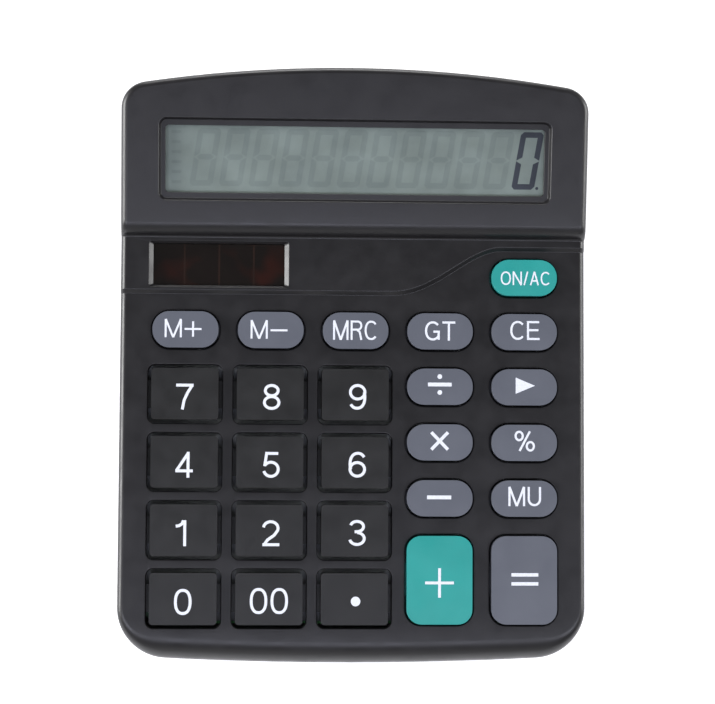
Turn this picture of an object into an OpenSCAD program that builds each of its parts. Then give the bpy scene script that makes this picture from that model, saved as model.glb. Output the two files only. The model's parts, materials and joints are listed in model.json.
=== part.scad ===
// Desktop calculator with a raised, tilted display, solar panel and one AA cell.
// Millimetres. X is across the keys, +Y runs from the front edge to the display, +Z is up.
// The origin is the middle of the footprint, on the surface that the feet stand on.

/* [Body] */
// Width across the two side walls
body_width = 118; // [116:1:122]
// Length from the front edge to the rear edge
body_length = 148; // [146:1:152]
// Height of the rear edge above the desk
body_height = 38; // [36:0.5:41]
// Height of the key deck at the front edge
deck_front_height = 13; // [12.5:0.5:14]
// Slope of the key deck, in degrees
deck_slope = 5.5; // [5:0.1:6]
// Slope of the display head, in degrees
head_slope = 16; // [15:0.5:17]
// Y of the step between the deck and the display head
head_front_y = 33.5; // [32.5:0.5:34]
// Edge radius of the display head along its sides and rear
head_edge_radius = 1.8; // [1:0.1:2.2]
// Edge radius of the deck along the sides
side_edge_radius = 1.6; // [0.8:0.1:1.8]
// Edge radius of the deck along the front
front_edge_radius = 5; // [3:0.5:5.5]
// Corner radius in plan at the front
front_corner_radius = 12.5; // [10:0.5:14]
// Corner radius in plan at the rear
rear_corner_radius = 7.5; // [6:0.5:9]
// Radius of the bowed front edge in plan
front_bow_radius = 960; // [700:20:1200]
// Radius of the bowed rear edge in plan
rear_bow_radius = 350; // [300:10:500]
// Thickness of the side walls
wall = 2; // [1.6:0.1:2.2]
// Thickness of the deck and head skin
skin = 2.2; // [1.8:0.1:2.4]
// Height of the parting line at the front edge
parting_front_height = 6.5; // [6:0.25:7]
// Slope of the parting line, in degrees
parting_slope = 2.5; // [2:0.25:3]

/* [Upper deck] */
// Rise of the solar deck above the key deck
upper_rise = 0.8; // [0.5:0.1:1]
// Distance up the deck of the step on the left side
step_left_v = 92.8; // [92:0.1:93.5]
// Distance up the deck of the step on the right side
step_right_v = 104.3; // [103:0.1:105]
// X where the step begins to sweep rearwards
step_sweep_start = 9; // [5:0.5:12]
// X where the step ends its sweep
step_sweep_end = 37.5; // [36:0.5:40]

/* [Keys] */
// Distance between key columns
column_pitch = 21.4; // [21:0.1:21.6]
// Offset of the middle column from the middle of the body
column_offset = 0.4; // [0:0.1:0.6]
// Distance between the rows of number keys
digit_pitch = 17.05; // [16.8:0.05:17.2]
// Distance up the deck of the top row of number keys
digit_top_v = 67; // [66.5:0.1:67.5]
// Distance between the rows of small oval keys
pill_pitch = 14.05; // [13.8:0.05:14.2]
// Distance up the deck of the top row of small oval function keys
pill_top_v = 69.2; // [69:0.1:69.6]
// Distance up the deck of the memory key row
memory_row_v = 83.2; // [83:0.1:83.6]
// Distance up the deck of the power key
power_row_v = 97; // [96.5:0.1:97.2]
// Distance up the deck of the middle of the two tall keys
tall_row_v = 20.6; // [20.2:0.1:21]
// Width of a number key
digit_width = 16.8; // [16:0.1:17]
// Height in plan of a number key
digit_height = 12.9; // [12.5:0.1:13.5]
// Width of an oval or tall key
pill_width = 16.5; // [16:0.1:17]
// Height in plan of an oval key
pill_height = 9.1; // [8.8:0.1:9.6]
// Height in plan of a tall key
tall_height = 22.1; // [21.8:0.1:23]
// How far the keys stand above the deck
key_rise = 1.9; // [1.5:0.1:2.2]
// Gap between a number key and its hole
digit_gap = 0.95; // [0.5:0.05:1]
// Gap between an oval or tall key and its hole
pill_gap = 0.4; // [0.3:0.05:0.5]

/* [Display] */
// Width of the visible display
view_width = 95.4; // [90:0.2:96]
// Height of the visible display, measured along the head
view_height = 16.8; // [16:0.1:17.4]
// Distance up the head of the middle of the display
view_t = 17.4; // [17:0.1:18]
// Width of the recess that the display lies in
recess_width = 98.4; // [98:0.2:99.4]
// Height of the recess, measured along the head
recess_height = 20.4; // [20:0.2:21]
// Depth of the recess
recess_depth = 1.3; // [1:0.1:1.4]

/* [Battery] */
// Diameter of the AA cell
cell_diameter = 14.3; // [14:0.1:14.5]
// Length of the AA cell over its button
cell_length = 50.5; // [50:0.1:50.5]
// Y of the cell's axis
cell_y = 52; // [51.5:0.1:52.5]
// Height of the cell's axis
cell_z = 10.9; // [10.8:0.1:11.2]

/* [Feet] */
// Diameter of a rubber foot
foot_diameter = 10; // [8:0.5:12]
// How far a foot stands below the bottom housing
foot_drop = 1.2; // [1:0.1:1.5]

/* [Hidden] */
$fn = 48;
FUZZ = 0.01;
HULL_FN = 32;

// ---- planes that the housing is built on -------------------------------------------------

half_width = body_width / 2;
half_length = body_length / 2;
floor_z = foot_drop;
floor_thickness = 2;
deck_tan = tan(deck_slope);
head_tan = tan(head_slope);
parting_tan = tan(parting_slope);

// Each plane is [height at Y = 0, rise per unit of Y]. The head reaches its height where its top ends.
head_top_inset = 2.7;
deck_plane = [deck_front_height + half_length * deck_tan, deck_tan];
head_plane = [body_height - (half_length - head_top_inset) * head_tan, head_tan];
parting_plane = [parting_front_height + half_length * parting_tan, parting_tan];

function plane_z(plane, y) = plane[0] + plane[1] * y;

head_lip_z = plane_z(head_plane, head_front_y);

// ---- plan outline ------------------------------------------------------------------------

rear_bow_centre = half_length - rear_bow_radius;
front_bow_centre = front_bow_radius - half_length;
rear_corner_x = half_width - rear_corner_radius;
front_corner_x = half_width - front_corner_radius;
rear_corner_y = rear_bow_centre + sqrt(pow(rear_bow_radius - rear_corner_radius, 2) - pow(rear_corner_x, 2));
front_corner_y = front_bow_centre
    - sqrt(pow(front_bow_radius - front_corner_radius, 2) - pow(front_corner_x, 2));
rear_bow_angle = asin(rear_corner_x / (rear_bow_radius - rear_corner_radius));
front_bow_angle = asin(front_corner_x / (front_bow_radius - front_corner_radius));
corner_steps = 10;
rear_bow_steps = 16;
front_bow_steps = 8;

// A stretch of outline: points and outward normals along an arc, [x, y, nx, ny].
function arc_points(centre, radius, from, to, steps, last) = [
    for (i = [0 : steps - (last ? 0 : 1)])
        let (a = from + (to - from) * i / steps)
        [centre[0] + radius * cos(a), centre[1] + radius * sin(a), cos(a), sin(a)]
];

// Front part of the outline, from the left end of the head step round the front to its right end.
front_outline = concat(
    [[-half_width, head_front_y, -1, 0]],
    arc_points([-front_corner_x, front_corner_y], front_corner_radius, 180, 270 - front_bow_angle,
        corner_steps, false),
    arc_points([0, front_bow_centre], front_bow_radius, 270 - front_bow_angle, 270 + front_bow_angle,
        front_bow_steps, false),
    arc_points([front_corner_x, front_corner_y], front_corner_radius, 270 + front_bow_angle, 360,
        corner_steps, true),
    [[half_width, head_front_y, 1, 0]]
);

// Rear part of the outline, from the right end of the head step round the rear to its left end.
rear_outline = concat(
    [[half_width, head_front_y, 1, 0]],
    arc_points([rear_corner_x, rear_corner_y], rear_corner_radius, 0, 90 - rear_bow_angle,
        corner_steps, false),
    arc_points([0, rear_bow_centre], rear_bow_radius, 90 - rear_bow_angle, 90 + rear_bow_angle,
        rear_bow_steps, false),
    arc_points([-rear_corner_x, rear_corner_y], rear_corner_radius, 90 + rear_bow_angle, 180,
        corner_steps, true),
    [[-half_width, head_front_y, -1, 0]]
);

front_count = len(front_outline);
rear_count = len(rear_outline);
whole_outline = concat(front_outline, [for (h = [1 : rear_count - 2]) rear_outline[h]]);
whole_count = len(whole_outline);

function inset_outline(inset) = [for (p = whole_outline) [p[0] - inset * p[2], p[1] - inset * p[3]]];

// ---- outer surface of the top housing ----------------------------------------------------

side_draft = tan(0.8);
rear_draft = tan(2.6);
edge_steps = 4;

function draft_at(p) = side_draft + (rear_draft - side_draft) * pow(max(0, p[3]), 2);
function deck_edge_radius(p) =
    side_edge_radius + (front_edge_radius - side_edge_radius) * pow(max(0, -p[3]), 2);

// A point on the drafted side wall of outline point p, moved in by inset, on a plane.
function drafted_point(p, inset, plane) =
    let (
        draft = draft_at(p),
        rest_z = plane_z(parting_plane, p[1]),
        z = (plane[0] + plane[1] * (p[1] - p[3] * (inset - draft * rest_z)))
            / (1 + plane[1] * p[3] * draft),
        shift = inset + draft * (z - rest_z)
    )
    [p[0] - shift * p[2], p[1] - shift * p[3], z];

// Point of ring j (1 is the top of the straight wall, edge_steps + 1 is the edge of the flat top).
function edge_point(p, radius, plane, j) =
    let (
        a = 90 * (j - 1) / edge_steps,
        drop = radius * (1 - sin(a))
    )
    drafted_point(p, radius * (1 - cos(a)), [plane[0] - drop, plane[1]]);

ring_count = edge_steps + 1;

module top_block() {
    base_points = [for (p = whole_outline) [p[0], p[1], plane_z(parting_plane, p[1])]];
    front_points = [
        for (j = [1 : ring_count])
            for (p = front_outline) edge_point(p, deck_edge_radius(p), deck_plane, j)
    ];
    rear_points = [
        for (j = [1 : ring_count])
            for (p = rear_outline) edge_point(p, head_edge_radius, head_plane, j)
    ];
    function front_index(j, i) = j == 0 ? i : whole_count + (j - 1) * front_count + i;
    function rear_index(j, h) = j == 0
        ? (h == 0 ? front_count - 1 : h == rear_count - 1 ? 0 : front_count - 1 + h)
        : whole_count + ring_count * front_count + (j - 1) * rear_count + h;
    front_walls = [
        for (j = [0 : ring_count - 1])
            for (i = [0 : front_count - 2])
                [front_index(j, i), front_index(j + 1, i), front_index(j + 1, i + 1), front_index(j, i + 1)]
    ];
    rear_walls = [
        for (j = [0 : ring_count - 1])
            for (h = [0 : rear_count - 2])
                if (j > 0 || (h > 0 && h < rear_count - 2))
                    [rear_index(j, h), rear_index(j + 1, h), rear_index(j + 1, h + 1), rear_index(j, h + 1)]
    ];
    // The two wall panels beside the step also meet the edge of the deck.
    right_panel = [
        rear_index(0, 0), front_index(1, front_count - 1), rear_index(1, 0), rear_index(1, 1),
        rear_index(0, 1)
    ];
    left_panel = [
        rear_index(0, rear_count - 2), rear_index(1, rear_count - 2), rear_index(1, rear_count - 1),
        front_index(1, 0), rear_index(0, rear_count - 1)
    ];
    bottom_face = [for (i = [0 : whole_count - 1]) i];
    deck_face = [for (i = [front_count - 1 : -1 : 0]) front_index(ring_count, i)];
    head_face = [for (h = [rear_count - 1 : -1 : 0]) rear_index(ring_count, h)];
    // The step is one wide panel with a fan of narrow ones at each end, between the two rounded edges.
    left_fan = [
        for (j = [1 : ring_count - 1])
            [front_index(j, 0), rear_index(j, rear_count - 1), rear_index(j + 1, rear_count - 1),
                front_index(j + 1, 0)]
    ];
    right_fan = [
        for (j = [1 : ring_count - 1])
            [front_index(j + 1, front_count - 1), rear_index(j + 1, 0), rear_index(j, 0),
                front_index(j, front_count - 1)]
    ];
    step_panel = [
        front_index(ring_count, 0), rear_index(ring_count, rear_count - 1),
        rear_index(ring_count, 0), front_index(ring_count, front_count - 1)
    ];
    polyhedron(
        concat(base_points, front_points, rear_points),
        concat(
            front_walls, rear_walls, left_fan, right_fan,
            [right_panel, left_panel, bottom_face, deck_face, head_face, step_panel]
        ),
        convexity = 6
    );
}

// ---- local frames ------------------------------------------------------------------------

// Children are drawn with X across, Y up the deck from its front edge, Z out of the deck.
module on_deck() {
    translate([0, -half_length, deck_front_height]) rotate([deck_slope, 0, 0]) children();
}

// Children are drawn with X across, Y up the display head from its lip, Z out of the head.
module on_head() {
    translate([0, head_front_y, head_lip_z]) rotate([head_slope, 0, 0]) children();
}

// A side profile, given as [y, z] points, drawn across the whole width.
module across(profile, width) {
    rotate([90, 0, 90]) linear_extrude(width, center = true) polygon(profile);
}

module rounded_rectangle(width, height, radius) {
    square([width - 2 * radius, height], center = true);
    square([width, height - 2 * radius], center = true);
    for (x = [-1, 1])
        for (y = [-1, 1])
            translate([x * (width / 2 - radius), y * (height / 2 - radius)]) circle(radius);
}

module rounded_plate(width, height, radius, low, high) {
    translate([0, 0, low]) linear_extrude(high - low) rounded_rectangle(width, height, radius);
}

// A plate whose outline shrinks by inset from its low face to its high face.
module bevelled_plate(width, height, radius, inset, low, high) {
    hull() {
        rounded_plate(width, height, radius, low, low + FUZZ, $fn = HULL_FN);
        rounded_plate(width - 2 * inset, height - 2 * inset, max(radius - inset, 0.3),
            high - FUZZ, high, $fn = HULL_FN);
    }
}

// Cuts a margin that slopes from an opening's edge, depth below the surface, up through the surface.
module sloped_margin(width, height, radius, margin, depth) {
    ledge = 0.1;
    over = 0.5;
    reach = margin * (depth + over) / depth;
    mirror([0, 0, 1]) bevelled_plate(
        width + 2 * (ledge + reach), height + 2 * (ledge + reach), radius + reach, reach, -over, depth
    );
}

// ---- key layout --------------------------------------------------------------------------

function column_x(column) = column_offset + (column - 2) * column_pitch;
function digit_v(row) = digit_top_v - row * digit_pitch;
function pill_v(row) = pill_top_v - row * pill_pitch;

digit_radius = 0.9;
pill_radius = 4.3;
tall_radius = 3.7;

digit_shape = [digit_width, digit_height, digit_radius, digit_gap];
pill_shape = [pill_width, pill_height, pill_radius, pill_gap];
tall_shape = [pill_width, tall_height, tall_radius, pill_gap];

// Every key as [column, distance up the deck, shape].
key_places = concat(
    [for (row = [0 : 3]) for (column = [0 : 2]) [column, digit_v(row), digit_shape]],
    [for (row = [0 : 2]) for (column = [3, 4]) [column, pill_v(row), pill_shape]],
    [for (column = [0 : 4]) [column, memory_row_v, pill_shape]],
    [[4, power_row_v, pill_shape]],
    [for (column = [3, 4]) [column, tall_row_v, tall_shape]]
);

// A tall key stands on two domes, the others on one.
dome_offset = 6;
function is_tall(shape) = shape[1] > 1.2 * shape[0];
function dome_offsets(shape) = is_tall(shape) ? [-dome_offset, dome_offset] : [0];

// ---- inner levels, measured out of the deck ----------------------------------------------

key_skirt_low = -skin - 1;
tab_high = -skin - 0.15;
stem_low = -skin - 1.35;
dome_high = stem_low - 0.05;
mat_high = -5.25;
mat_low = -6.05;
board_high = -6.1;
board_low = -7.7;

dome_base_radius = 4.3;
dome_top_radius = 2.7;
dome_wall = 0.8;

board_front_v = 9.2;
board_rear_v = 91;
board_half_width = 54;
power_tab_left = 31;
power_tab_rear_v = 103;

// Screws that hold the board up to the deck, [x, distance up the deck], at the corners between keys.
between_columns = [for (c = [0 : 3]) column_x(c) + column_pitch / 2];
board_screw_places = [
    [between_columns[0], (digit_v(0) + memory_row_v + 2) / 2],
    [between_columns[2], (digit_v(0) + memory_row_v + 2) / 2],
    [between_columns[0], (digit_v(1) + digit_v(2)) / 2],
    [between_columns[1], (digit_v(0) + digit_v(1)) / 2],
    [between_columns[0], (digit_v(2) + digit_v(3)) / 2],
    [between_columns[1], (digit_v(2) + digit_v(3)) / 2],
    [between_columns[3], (pill_v(0) + pill_v(1)) / 2],
    [between_columns[3], pill_v(2) - pill_pitch / 2]
];
board_boss_radius = 2.1;
board_pilot_radius = 1;

// Screws that hold the two housings together, [x, y].
housing_screw_places = [[-32, -68.4], [32, -68.4], [24, 30], [-50, 65], [50, 65]];
housing_boss_radius = 2.9;
housing_pilot_radius = 1.2;
screw_head_radius = 2.5;
screw_head_seat_z = 3.9;

foot_places = [[-47, -58], [47, -58], [-47, 53], [47, 53]];
foot_height = 2.2;

// ---- battery bay -------------------------------------------------------------------------

bay_half_length = 28;
bay_wall = 1.5;
bay_half_width = 7.7;
bay_ceiling_z = 18.4;
spring_end_x = -23.2;
cell_end_x = spring_end_x + cell_length;
door_gap = 0.2;
door_front_y = cell_y - bay_half_width;
door_hook_x = 18;
door_hook_width = 6;
contact_width = 9;

// ---- display stack, measured out of the head ---------------------------------------------

view_radius = 0.8;
recess_radius = 1.5;
recess_lean = 0.4;
lens_plug_gap = 0.1;
lens_flange = 1.4;
lens_low = -skin - 0.5;
polarizer_thickness = 0.15;
glass_thickness = 1.1;
lcd_width = 100;
lcd_front_height = 19.6;
lcd_ledge = 2.4;
polarizer_low = lens_low - 0.05 - polarizer_thickness;
front_glass_low = polarizer_low - glass_thickness;
rear_glass_low = front_glass_low - glass_thickness;
reflector_low = rear_glass_low - 0.2;
frame_half_width = 52;
frame_front_t = 4;
frame_rear_t = 29.2;
frame_back_low = reflector_low - 1.25;
frame_post_x = 53.7;
frame_post_t = [10, 24];
frame_post_radius = 1.1;

// ---- solar panel -------------------------------------------------------------------------

solar_x = -34.15;
solar_v = 99.8;
solar_width = 33;
solar_height = 10.6;
solar_margin = 1;
solar_window_low = upper_rise - 2;
solar_cell_low = solar_window_low - 1.15;

// ==== top housing =========================================================================

// How far the step of the upper deck has swept rearwards at x, from 0 to 1.
sweep_skew = 1.15;
function sweep_part(x) = min(1, max(0, (x - step_sweep_start) / (step_sweep_end - step_sweep_start)));
function smooth(t) = t * t * (3 - 2 * t);
function step_v(x) = step_left_v + (step_right_v - step_left_v) * smooth(pow(sweep_part(x), sweep_skew));
sweep_steps = 16;
plate_side_inset = 0.4;
plate_half_width = half_width - side_edge_radius - plate_side_inset;
upper_deck_rear_v = (head_front_y + half_length) / cos(deck_slope) + 1;

module upper_deck() {
    sweep_points = [
        for (i = [0 : sweep_steps])
            let (x = step_sweep_start + (step_sweep_end - step_sweep_start) * i / sweep_steps)
            [x, step_v(x)]
    ];
    on_deck() translate([0, 0, -1]) linear_extrude(1 + upper_rise) polygon(concat(
        [[-plate_half_width, step_left_v]],
        sweep_points,
        [
            [plate_half_width, step_right_v],
            [plate_half_width, upper_deck_rear_v],
            [-plate_half_width, upper_deck_rear_v]
        ]
    ));
}

// Hollow under the deck and the head.
module top_hollow() {
    low = -5;
    front = -half_length + wall;
    chamfer = 2.6;
    head_wall = wall + 1.2;
    intersection() {
        translate([0, 0, low]) linear_extrude(body_height) polygon(inset_outline(wall));
        across([
            [-half_length, low], [half_length, low],
            [half_length, plane_z(deck_plane, half_length) - skin],
            [front + chamfer, plane_z(deck_plane, front + chamfer) - skin],
            [front, plane_z(deck_plane, front) - skin - chamfer],
            [-half_length, plane_z(deck_plane, front) - skin - chamfer]
        ], body_width);
    }
    intersection() {
        translate([0, 0, low]) linear_extrude(body_height + 10) polygon(inset_outline(head_wall));
        across([
            [head_front_y + wall, 0], [half_length, 0],
            [half_length, plane_z(head_plane, half_length) - skin],
            [head_front_y + wall, plane_z(head_plane, head_front_y + wall) - skin]
        ], body_width);
    }
}

module key_holes() {
    for (key = key_places)
        let (shape = key[2], gap = shape[3])
        on_deck() translate([column_x(key[0]), key[1], 0])
            rounded_plate(shape[0] + 2 * gap, shape[1] + 2 * gap, shape[2] + gap, -skin - 2, 4);
}

module display_opening() {
    on_head() translate([0, view_t, 0]) {
        rounded_plate(view_width, view_height, view_radius, -skin - 2, 1);
        sloped_margin(recess_width - 2 * recess_lean, recess_height - 2 * recess_lean,
            recess_radius, recess_lean, recess_depth);
    }
}

module solar_opening() {
    on_deck() translate([solar_x, solar_v, 0]) {
        rounded_plate(solar_width, solar_height, 0.5, -skin - 2, 2);
        translate([0, 0, upper_rise]) sloped_margin(solar_width, solar_height, 0.5, solar_margin, 0.9);
        rounded_plate(solar_width + 4, solar_height + 3.4, 0.5, -skin - 2, upper_rise - 2);
    }
}

// A housing boss runs from the parting line into the skin above it.
function boss_low_z(y) = plane_z(parting_plane, y) + 0.2;
function boss_high_z(y) = y > head_front_y
    ? plane_z(head_plane, y) - 1.2
    : plane_z(deck_plane, y) - skin + 0.6;

module top_bosses() {
    for (place = housing_screw_places)
        translate([place[0], place[1], boss_low_z(place[1])])
            cylinder(r = housing_boss_radius, h = boss_high_z(place[1]) - boss_low_z(place[1]));
    for (place = board_screw_places)
        on_deck() translate([place[0], place[1], board_high])
            cylinder(r = board_boss_radius, h = -skin + 1 - board_high);
    for (x = [-frame_post_x, frame_post_x])
        for (t = frame_post_t)
            on_head() translate([x, t, frame_back_low - 0.8])
                cylinder(r = frame_post_radius, h = -skin + 1 - frame_back_low + 0.8);
}

module top_pilot_holes() {
    for (place = housing_screw_places)
        translate([place[0], place[1], 0]) cylinder(r = housing_pilot_radius, h = top_pilot_z(place[1]));
    for (place = board_screw_places)
        on_deck() translate([place[0], place[1], board_high - 1]) cylinder(r = board_pilot_radius, h = 5);
}

// Top of a housing screw's pilot hole, under the skin: deeper in the tall bosses at the rear.
front_pilot_depth = 4.2;
rear_pilot_depth = 10;
function top_pilot_z(y) = plane_z(parting_plane, y) + (y > 0 ? rear_pilot_depth : front_pilot_depth);

module top_housing() {
    color("#3a393d") difference() {
        union() {
            difference() {
                union() {
                    top_block();
                    upper_deck();
                }
                top_hollow();
                key_holes();
                display_opening();
                solar_opening();
            }
            top_bosses();
        }
        top_pilot_holes();
    }
}

// ==== bottom housing ======================================================================

bottom_draft = tan(5);
bottom_edge_radius = 2;
bottom_edge_steps = 3;

module bottom_block() {
    // Rings run down from the parting line to the flat underside.
    function ring_point(p, j) =
        let (
            a = 90 * (j - 1) / bottom_edge_steps,
            z = j == 0 ? plane_z(parting_plane, p[1]) : floor_z + bottom_edge_radius * (1 - sin(a)),
            inset = (plane_z(parting_plane, p[1]) - z) * bottom_draft
                + (j == 0 ? 0 : bottom_edge_radius * (1 - cos(a)))
        )
        [p[0] - inset * p[2], p[1] - inset * p[3], z];
    rings = bottom_edge_steps + 1;
    points = [for (j = [0 : rings]) for (p = whole_outline) ring_point(p, j)];
    n = whole_count;
    polyhedron(points, concat(
        [
            for (j = [0 : rings - 1])
                for (i = [0 : n - 1])
                    let (k = (i + 1) % n)
                    [j * n + i, j * n + k, (j + 1) * n + k, (j + 1) * n + i]
        ],
        [
            [for (i = [n - 1 : -1 : 0]) i],
            [for (i = [0 : n - 1]) rings * n + i]
        ]
    ), convexity = 4);
}

// Everything below a plane, as a block as wide as the body.
module below(plane, offset) {
    across([
        [-half_length - 5, -5], [half_length + 5, -5],
        [half_length + 5, plane_z(plane, half_length + 5) + offset],
        [-half_length - 5, plane_z(plane, -half_length - 5) + offset]
    ], body_width + 10);
}

// Tongue that rises inside the wall of the top housing.
module parting_tongue() {
    tongue_gap = 0.15;
    tongue_thickness = 0.9;
    tongue_rise = 1.2;
    tongue_root = 3;
    intersection() {
        difference() {
            linear_extrude(body_height) polygon(inset_outline(wall + tongue_gap));
            translate([0, 0, -1]) linear_extrude(body_height + 2)
                polygon(inset_outline(wall + tongue_gap + tongue_thickness));
        }
        difference() {
            below(parting_plane, tongue_rise);
            below(parting_plane, -tongue_root);
            for (place = housing_screw_places)
                translate([place[0], place[1], 0]) cylinder(r = housing_boss_radius + 0.3, h = body_height);
        }
    }
}

// Walls and ceiling round the cell.
module battery_bay() {
    difference() {
        translate([-bay_half_length - bay_wall, cell_y - bay_half_width - bay_wall, floor_z + 1])
            cube([
                2 * (bay_half_length + bay_wall), 2 * (bay_half_width + bay_wall),
                bay_ceiling_z + 1.2 - floor_z - 1
            ]);
        translate([-bay_half_length, cell_y - bay_half_width, 0])
            cube([2 * bay_half_length, 2 * bay_half_width, bay_ceiling_z]);
        // Slots for the solder tabs of the two contacts.
        for (side = [-1, 1])
            translate([side * (bay_half_length - 0.5), cell_y, bay_ceiling_z])
                cube([1, contact_width + 0.4, 6], center = true);
    }
}

module bottom_hollow() {
    translate([0, 0, floor_z + floor_thickness]) linear_extrude(body_height)
        polygon(inset_outline(wall + 1.05));
}

module bottom_housing() {
    slot_depth = bay_wall + 0.3;
    color("#333236") difference() {
        union() {
            difference() {
                bottom_block();
                bottom_hollow();
            }
            parting_tongue();
            battery_bay();
            // Boss under each housing screw, up to the parting line.
            for (place = housing_screw_places)
                translate([place[0], place[1], floor_z + 0.5])
                    cylinder(r = 3.6, h = plane_z(parting_plane, place[1]) - 0.2 - floor_z - 0.5);
        }
        // The opening that the cell goes in through.
        translate([-bay_half_length, cell_y - bay_half_width, 0])
            cube([2 * bay_half_length, 2 * bay_half_width, floor_z + floor_thickness + 1]);
        // Slots for the two hooks at the door's front edge.
        for (x = [-door_hook_x, door_hook_x])
            translate([x - door_hook_width / 2 - 0.3, door_front_y - slot_depth, floor_z + floor_thickness])
                cube([door_hook_width + 0.6, slot_depth + 1, 1.8]);
        // Finger notch behind the door.
        translate([0, cell_y + bay_half_width, floor_z]) cylinder(r = 5, h = 1.1);
        // Screw holes and deep seats for the screw heads.
        for (place = housing_screw_places) {
            translate([place[0], place[1], 0]) cylinder(r = 1.6, h = body_height);
            translate([place[0], place[1], 0]) cylinder(r = 2.75, h = screw_head_seat_z);
        }
        // Seats for the rubber feet.
        for (place = foot_places)
            translate([place[0], place[1], 0]) cylinder(d = foot_diameter + 0.1, h = foot_height);
        // Grip lines beside the finger notch.
        for (i = [0 : 3])
            translate([-8, cell_y + bay_half_width + bay_wall + 2 + 1.6 * i, floor_z - 1])
                cube([16, 0.7, 1.3]);
    }
}

// ==== keys ================================================================================

stem_radius = 2.3;
cap_wall = 1.1;
cap_top = 1.5;
// How far a side tab catches under the deck past the edge of the key's hole.
tab_catch = 0.6;
tab_root = 0.6;

module key_cap(place, shape, bevel, tab_height) {
    width = shape[0];
    height = shape[1];
    radius = shape[2];
    tab_reach = shape[3] + tab_catch;
    on_deck() translate([column_x(place[0]), place[1], 0]) {
        difference() {
            union() {
                rounded_plate(width, height, radius, key_skirt_low, key_rise - bevel);
                bevelled_plate(width, height, radius, bevel, key_rise - bevel, key_rise);
                for (side = [-1, 1])
                    translate([
                        side * (width + tab_reach - tab_root) / 2, 0, (key_skirt_low + tab_high) / 2
                    ])
                        cube([tab_reach + tab_root, tab_height, tab_high - key_skirt_low], center = true);
            }
            rounded_plate(width - 2 * cap_wall, height - 2 * cap_wall, max(radius - cap_wall, 0.4),
                key_skirt_low - 1, key_rise - cap_top);
        }
        for (offset = dome_offsets(shape))
            translate([0, offset, stem_low]) cylinder(r = stem_radius, h = key_rise - cap_top - stem_low + 0.5);
    }
}

digit_bevel = 0.35;
pill_bevel = 0.7;
digit_tab_height = 7;
pill_tab_height = 3.6;
tall_tab_height = 8;

module digit_key(column, row) {
    color("#333336") key_cap([column, digit_v(row)], digit_shape, digit_bevel, digit_tab_height);
}

module pill_key(column, v) {
    color("#70737f") key_cap([column, v], pill_shape, pill_bevel, pill_tab_height);
}

module key_7() { digit_key(0, 0); }
module key_8() { digit_key(1, 0); }
module key_9() { digit_key(2, 0); }
module key_4() { digit_key(0, 1); }
module key_5() { digit_key(1, 1); }
module key_6() { digit_key(2, 1); }
module key_1() { digit_key(0, 2); }
module key_2() { digit_key(1, 2); }
module key_3() { digit_key(2, 2); }
module key_0() { digit_key(0, 3); }
module key_double_zero() { digit_key(1, 3); }
module key_point() { digit_key(2, 3); }

module key_memory_plus() { pill_key(0, memory_row_v); }
module key_memory_minus() { pill_key(1, memory_row_v); }
module key_memory_recall() { pill_key(2, memory_row_v); }
module key_grand_total() { pill_key(3, memory_row_v); }
module key_clear_entry() { pill_key(4, memory_row_v); }
module key_divide() { pill_key(3, pill_v(0)); }
module key_backspace() { pill_key(4, pill_v(0)); }
module key_multiply() { pill_key(3, pill_v(1)); }
module key_percent() { pill_key(4, pill_v(1)); }
module key_subtract() { pill_key(3, pill_v(2)); }
module key_markup() { pill_key(4, pill_v(2)); }

module key_power() {
    color("#3fa69c") key_cap([4, power_row_v], pill_shape, pill_bevel, pill_tab_height);
}

module key_add() {
    color("#3fa69c") key_cap([3, tall_row_v], tall_shape, pill_bevel, tall_tab_height);
}

module key_equals() {
    color("#70737f") key_cap([4, tall_row_v], tall_shape, pill_bevel, tall_tab_height);
}

// ==== keypad mat and board ================================================================

// Outline of the board and the mat: a rectangle with a tab under the power key.
module board_outline(margin) {
    chamfer = 4;
    left = -board_half_width + margin;
    right = board_half_width - margin;
    front = board_front_v + margin;
    rear = board_rear_v - margin;
    tab_rear = power_tab_rear_v - margin;
    polygon([
        [left + chamfer, front], [right - chamfer, front], [right, front + chamfer],
        [right, tab_rear], [power_tab_left + margin, tab_rear], [power_tab_left + margin, rear],
        [left, rear], [left, front + chamfer]
    ]);
}

module rubber_keypad() {
    color("#8c8f92") on_deck() difference() {
        union() {
            translate([0, 0, mat_low]) linear_extrude(mat_high - mat_low) board_outline(0.8);
            for (key = key_places)
                for (offset = dome_offsets(key[2]))
                    translate([column_x(key[0]), key[1] + offset, mat_low])
                        cylinder(r1 = dome_base_radius + 0.4, r2 = dome_top_radius, h = dome_high - mat_low);
        }
        for (key = key_places)
            for (offset = dome_offsets(key[2]))
                translate([column_x(key[0]), key[1] + offset, mat_low - 0.1])
                    cylinder(
                        r1 = dome_base_radius - 0.4, r2 = dome_top_radius - dome_wall,
                        h = dome_high - dome_wall - mat_low + 0.1
                    );
        for (place = board_screw_places)
            translate([place[0], place[1], mat_low - 1]) cylinder(r = board_boss_radius + 0.4, h = 4);
    }
}

module main_board() {
    color("#2f6b3c") on_deck() difference() {
        translate([0, 0, board_low]) linear_extrude(board_high - board_low) board_outline(0);
        for (place = board_screw_places)
            translate([place[0], place[1], board_low - 1]) cylinder(r = 1.15, h = 4);
    }
}

chip_x = -8;
chip_v = 80;

module chip_blob() {
    blob_radius = 6;
    blob_height = 1.6;
    sphere_radius = (blob_radius * blob_radius + blob_height * blob_height) / (2 * blob_height);
    color("#17171a") on_deck() translate([chip_x, chip_v, board_low]) intersection() {
        translate([0, 0, sphere_radius - blob_height]) sphere(sphere_radius, $fn = 160);
        translate([0, 0, -blob_height - 1]) cylinder(r = blob_radius + 1, h = blob_height + 1);
    }
}

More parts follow.
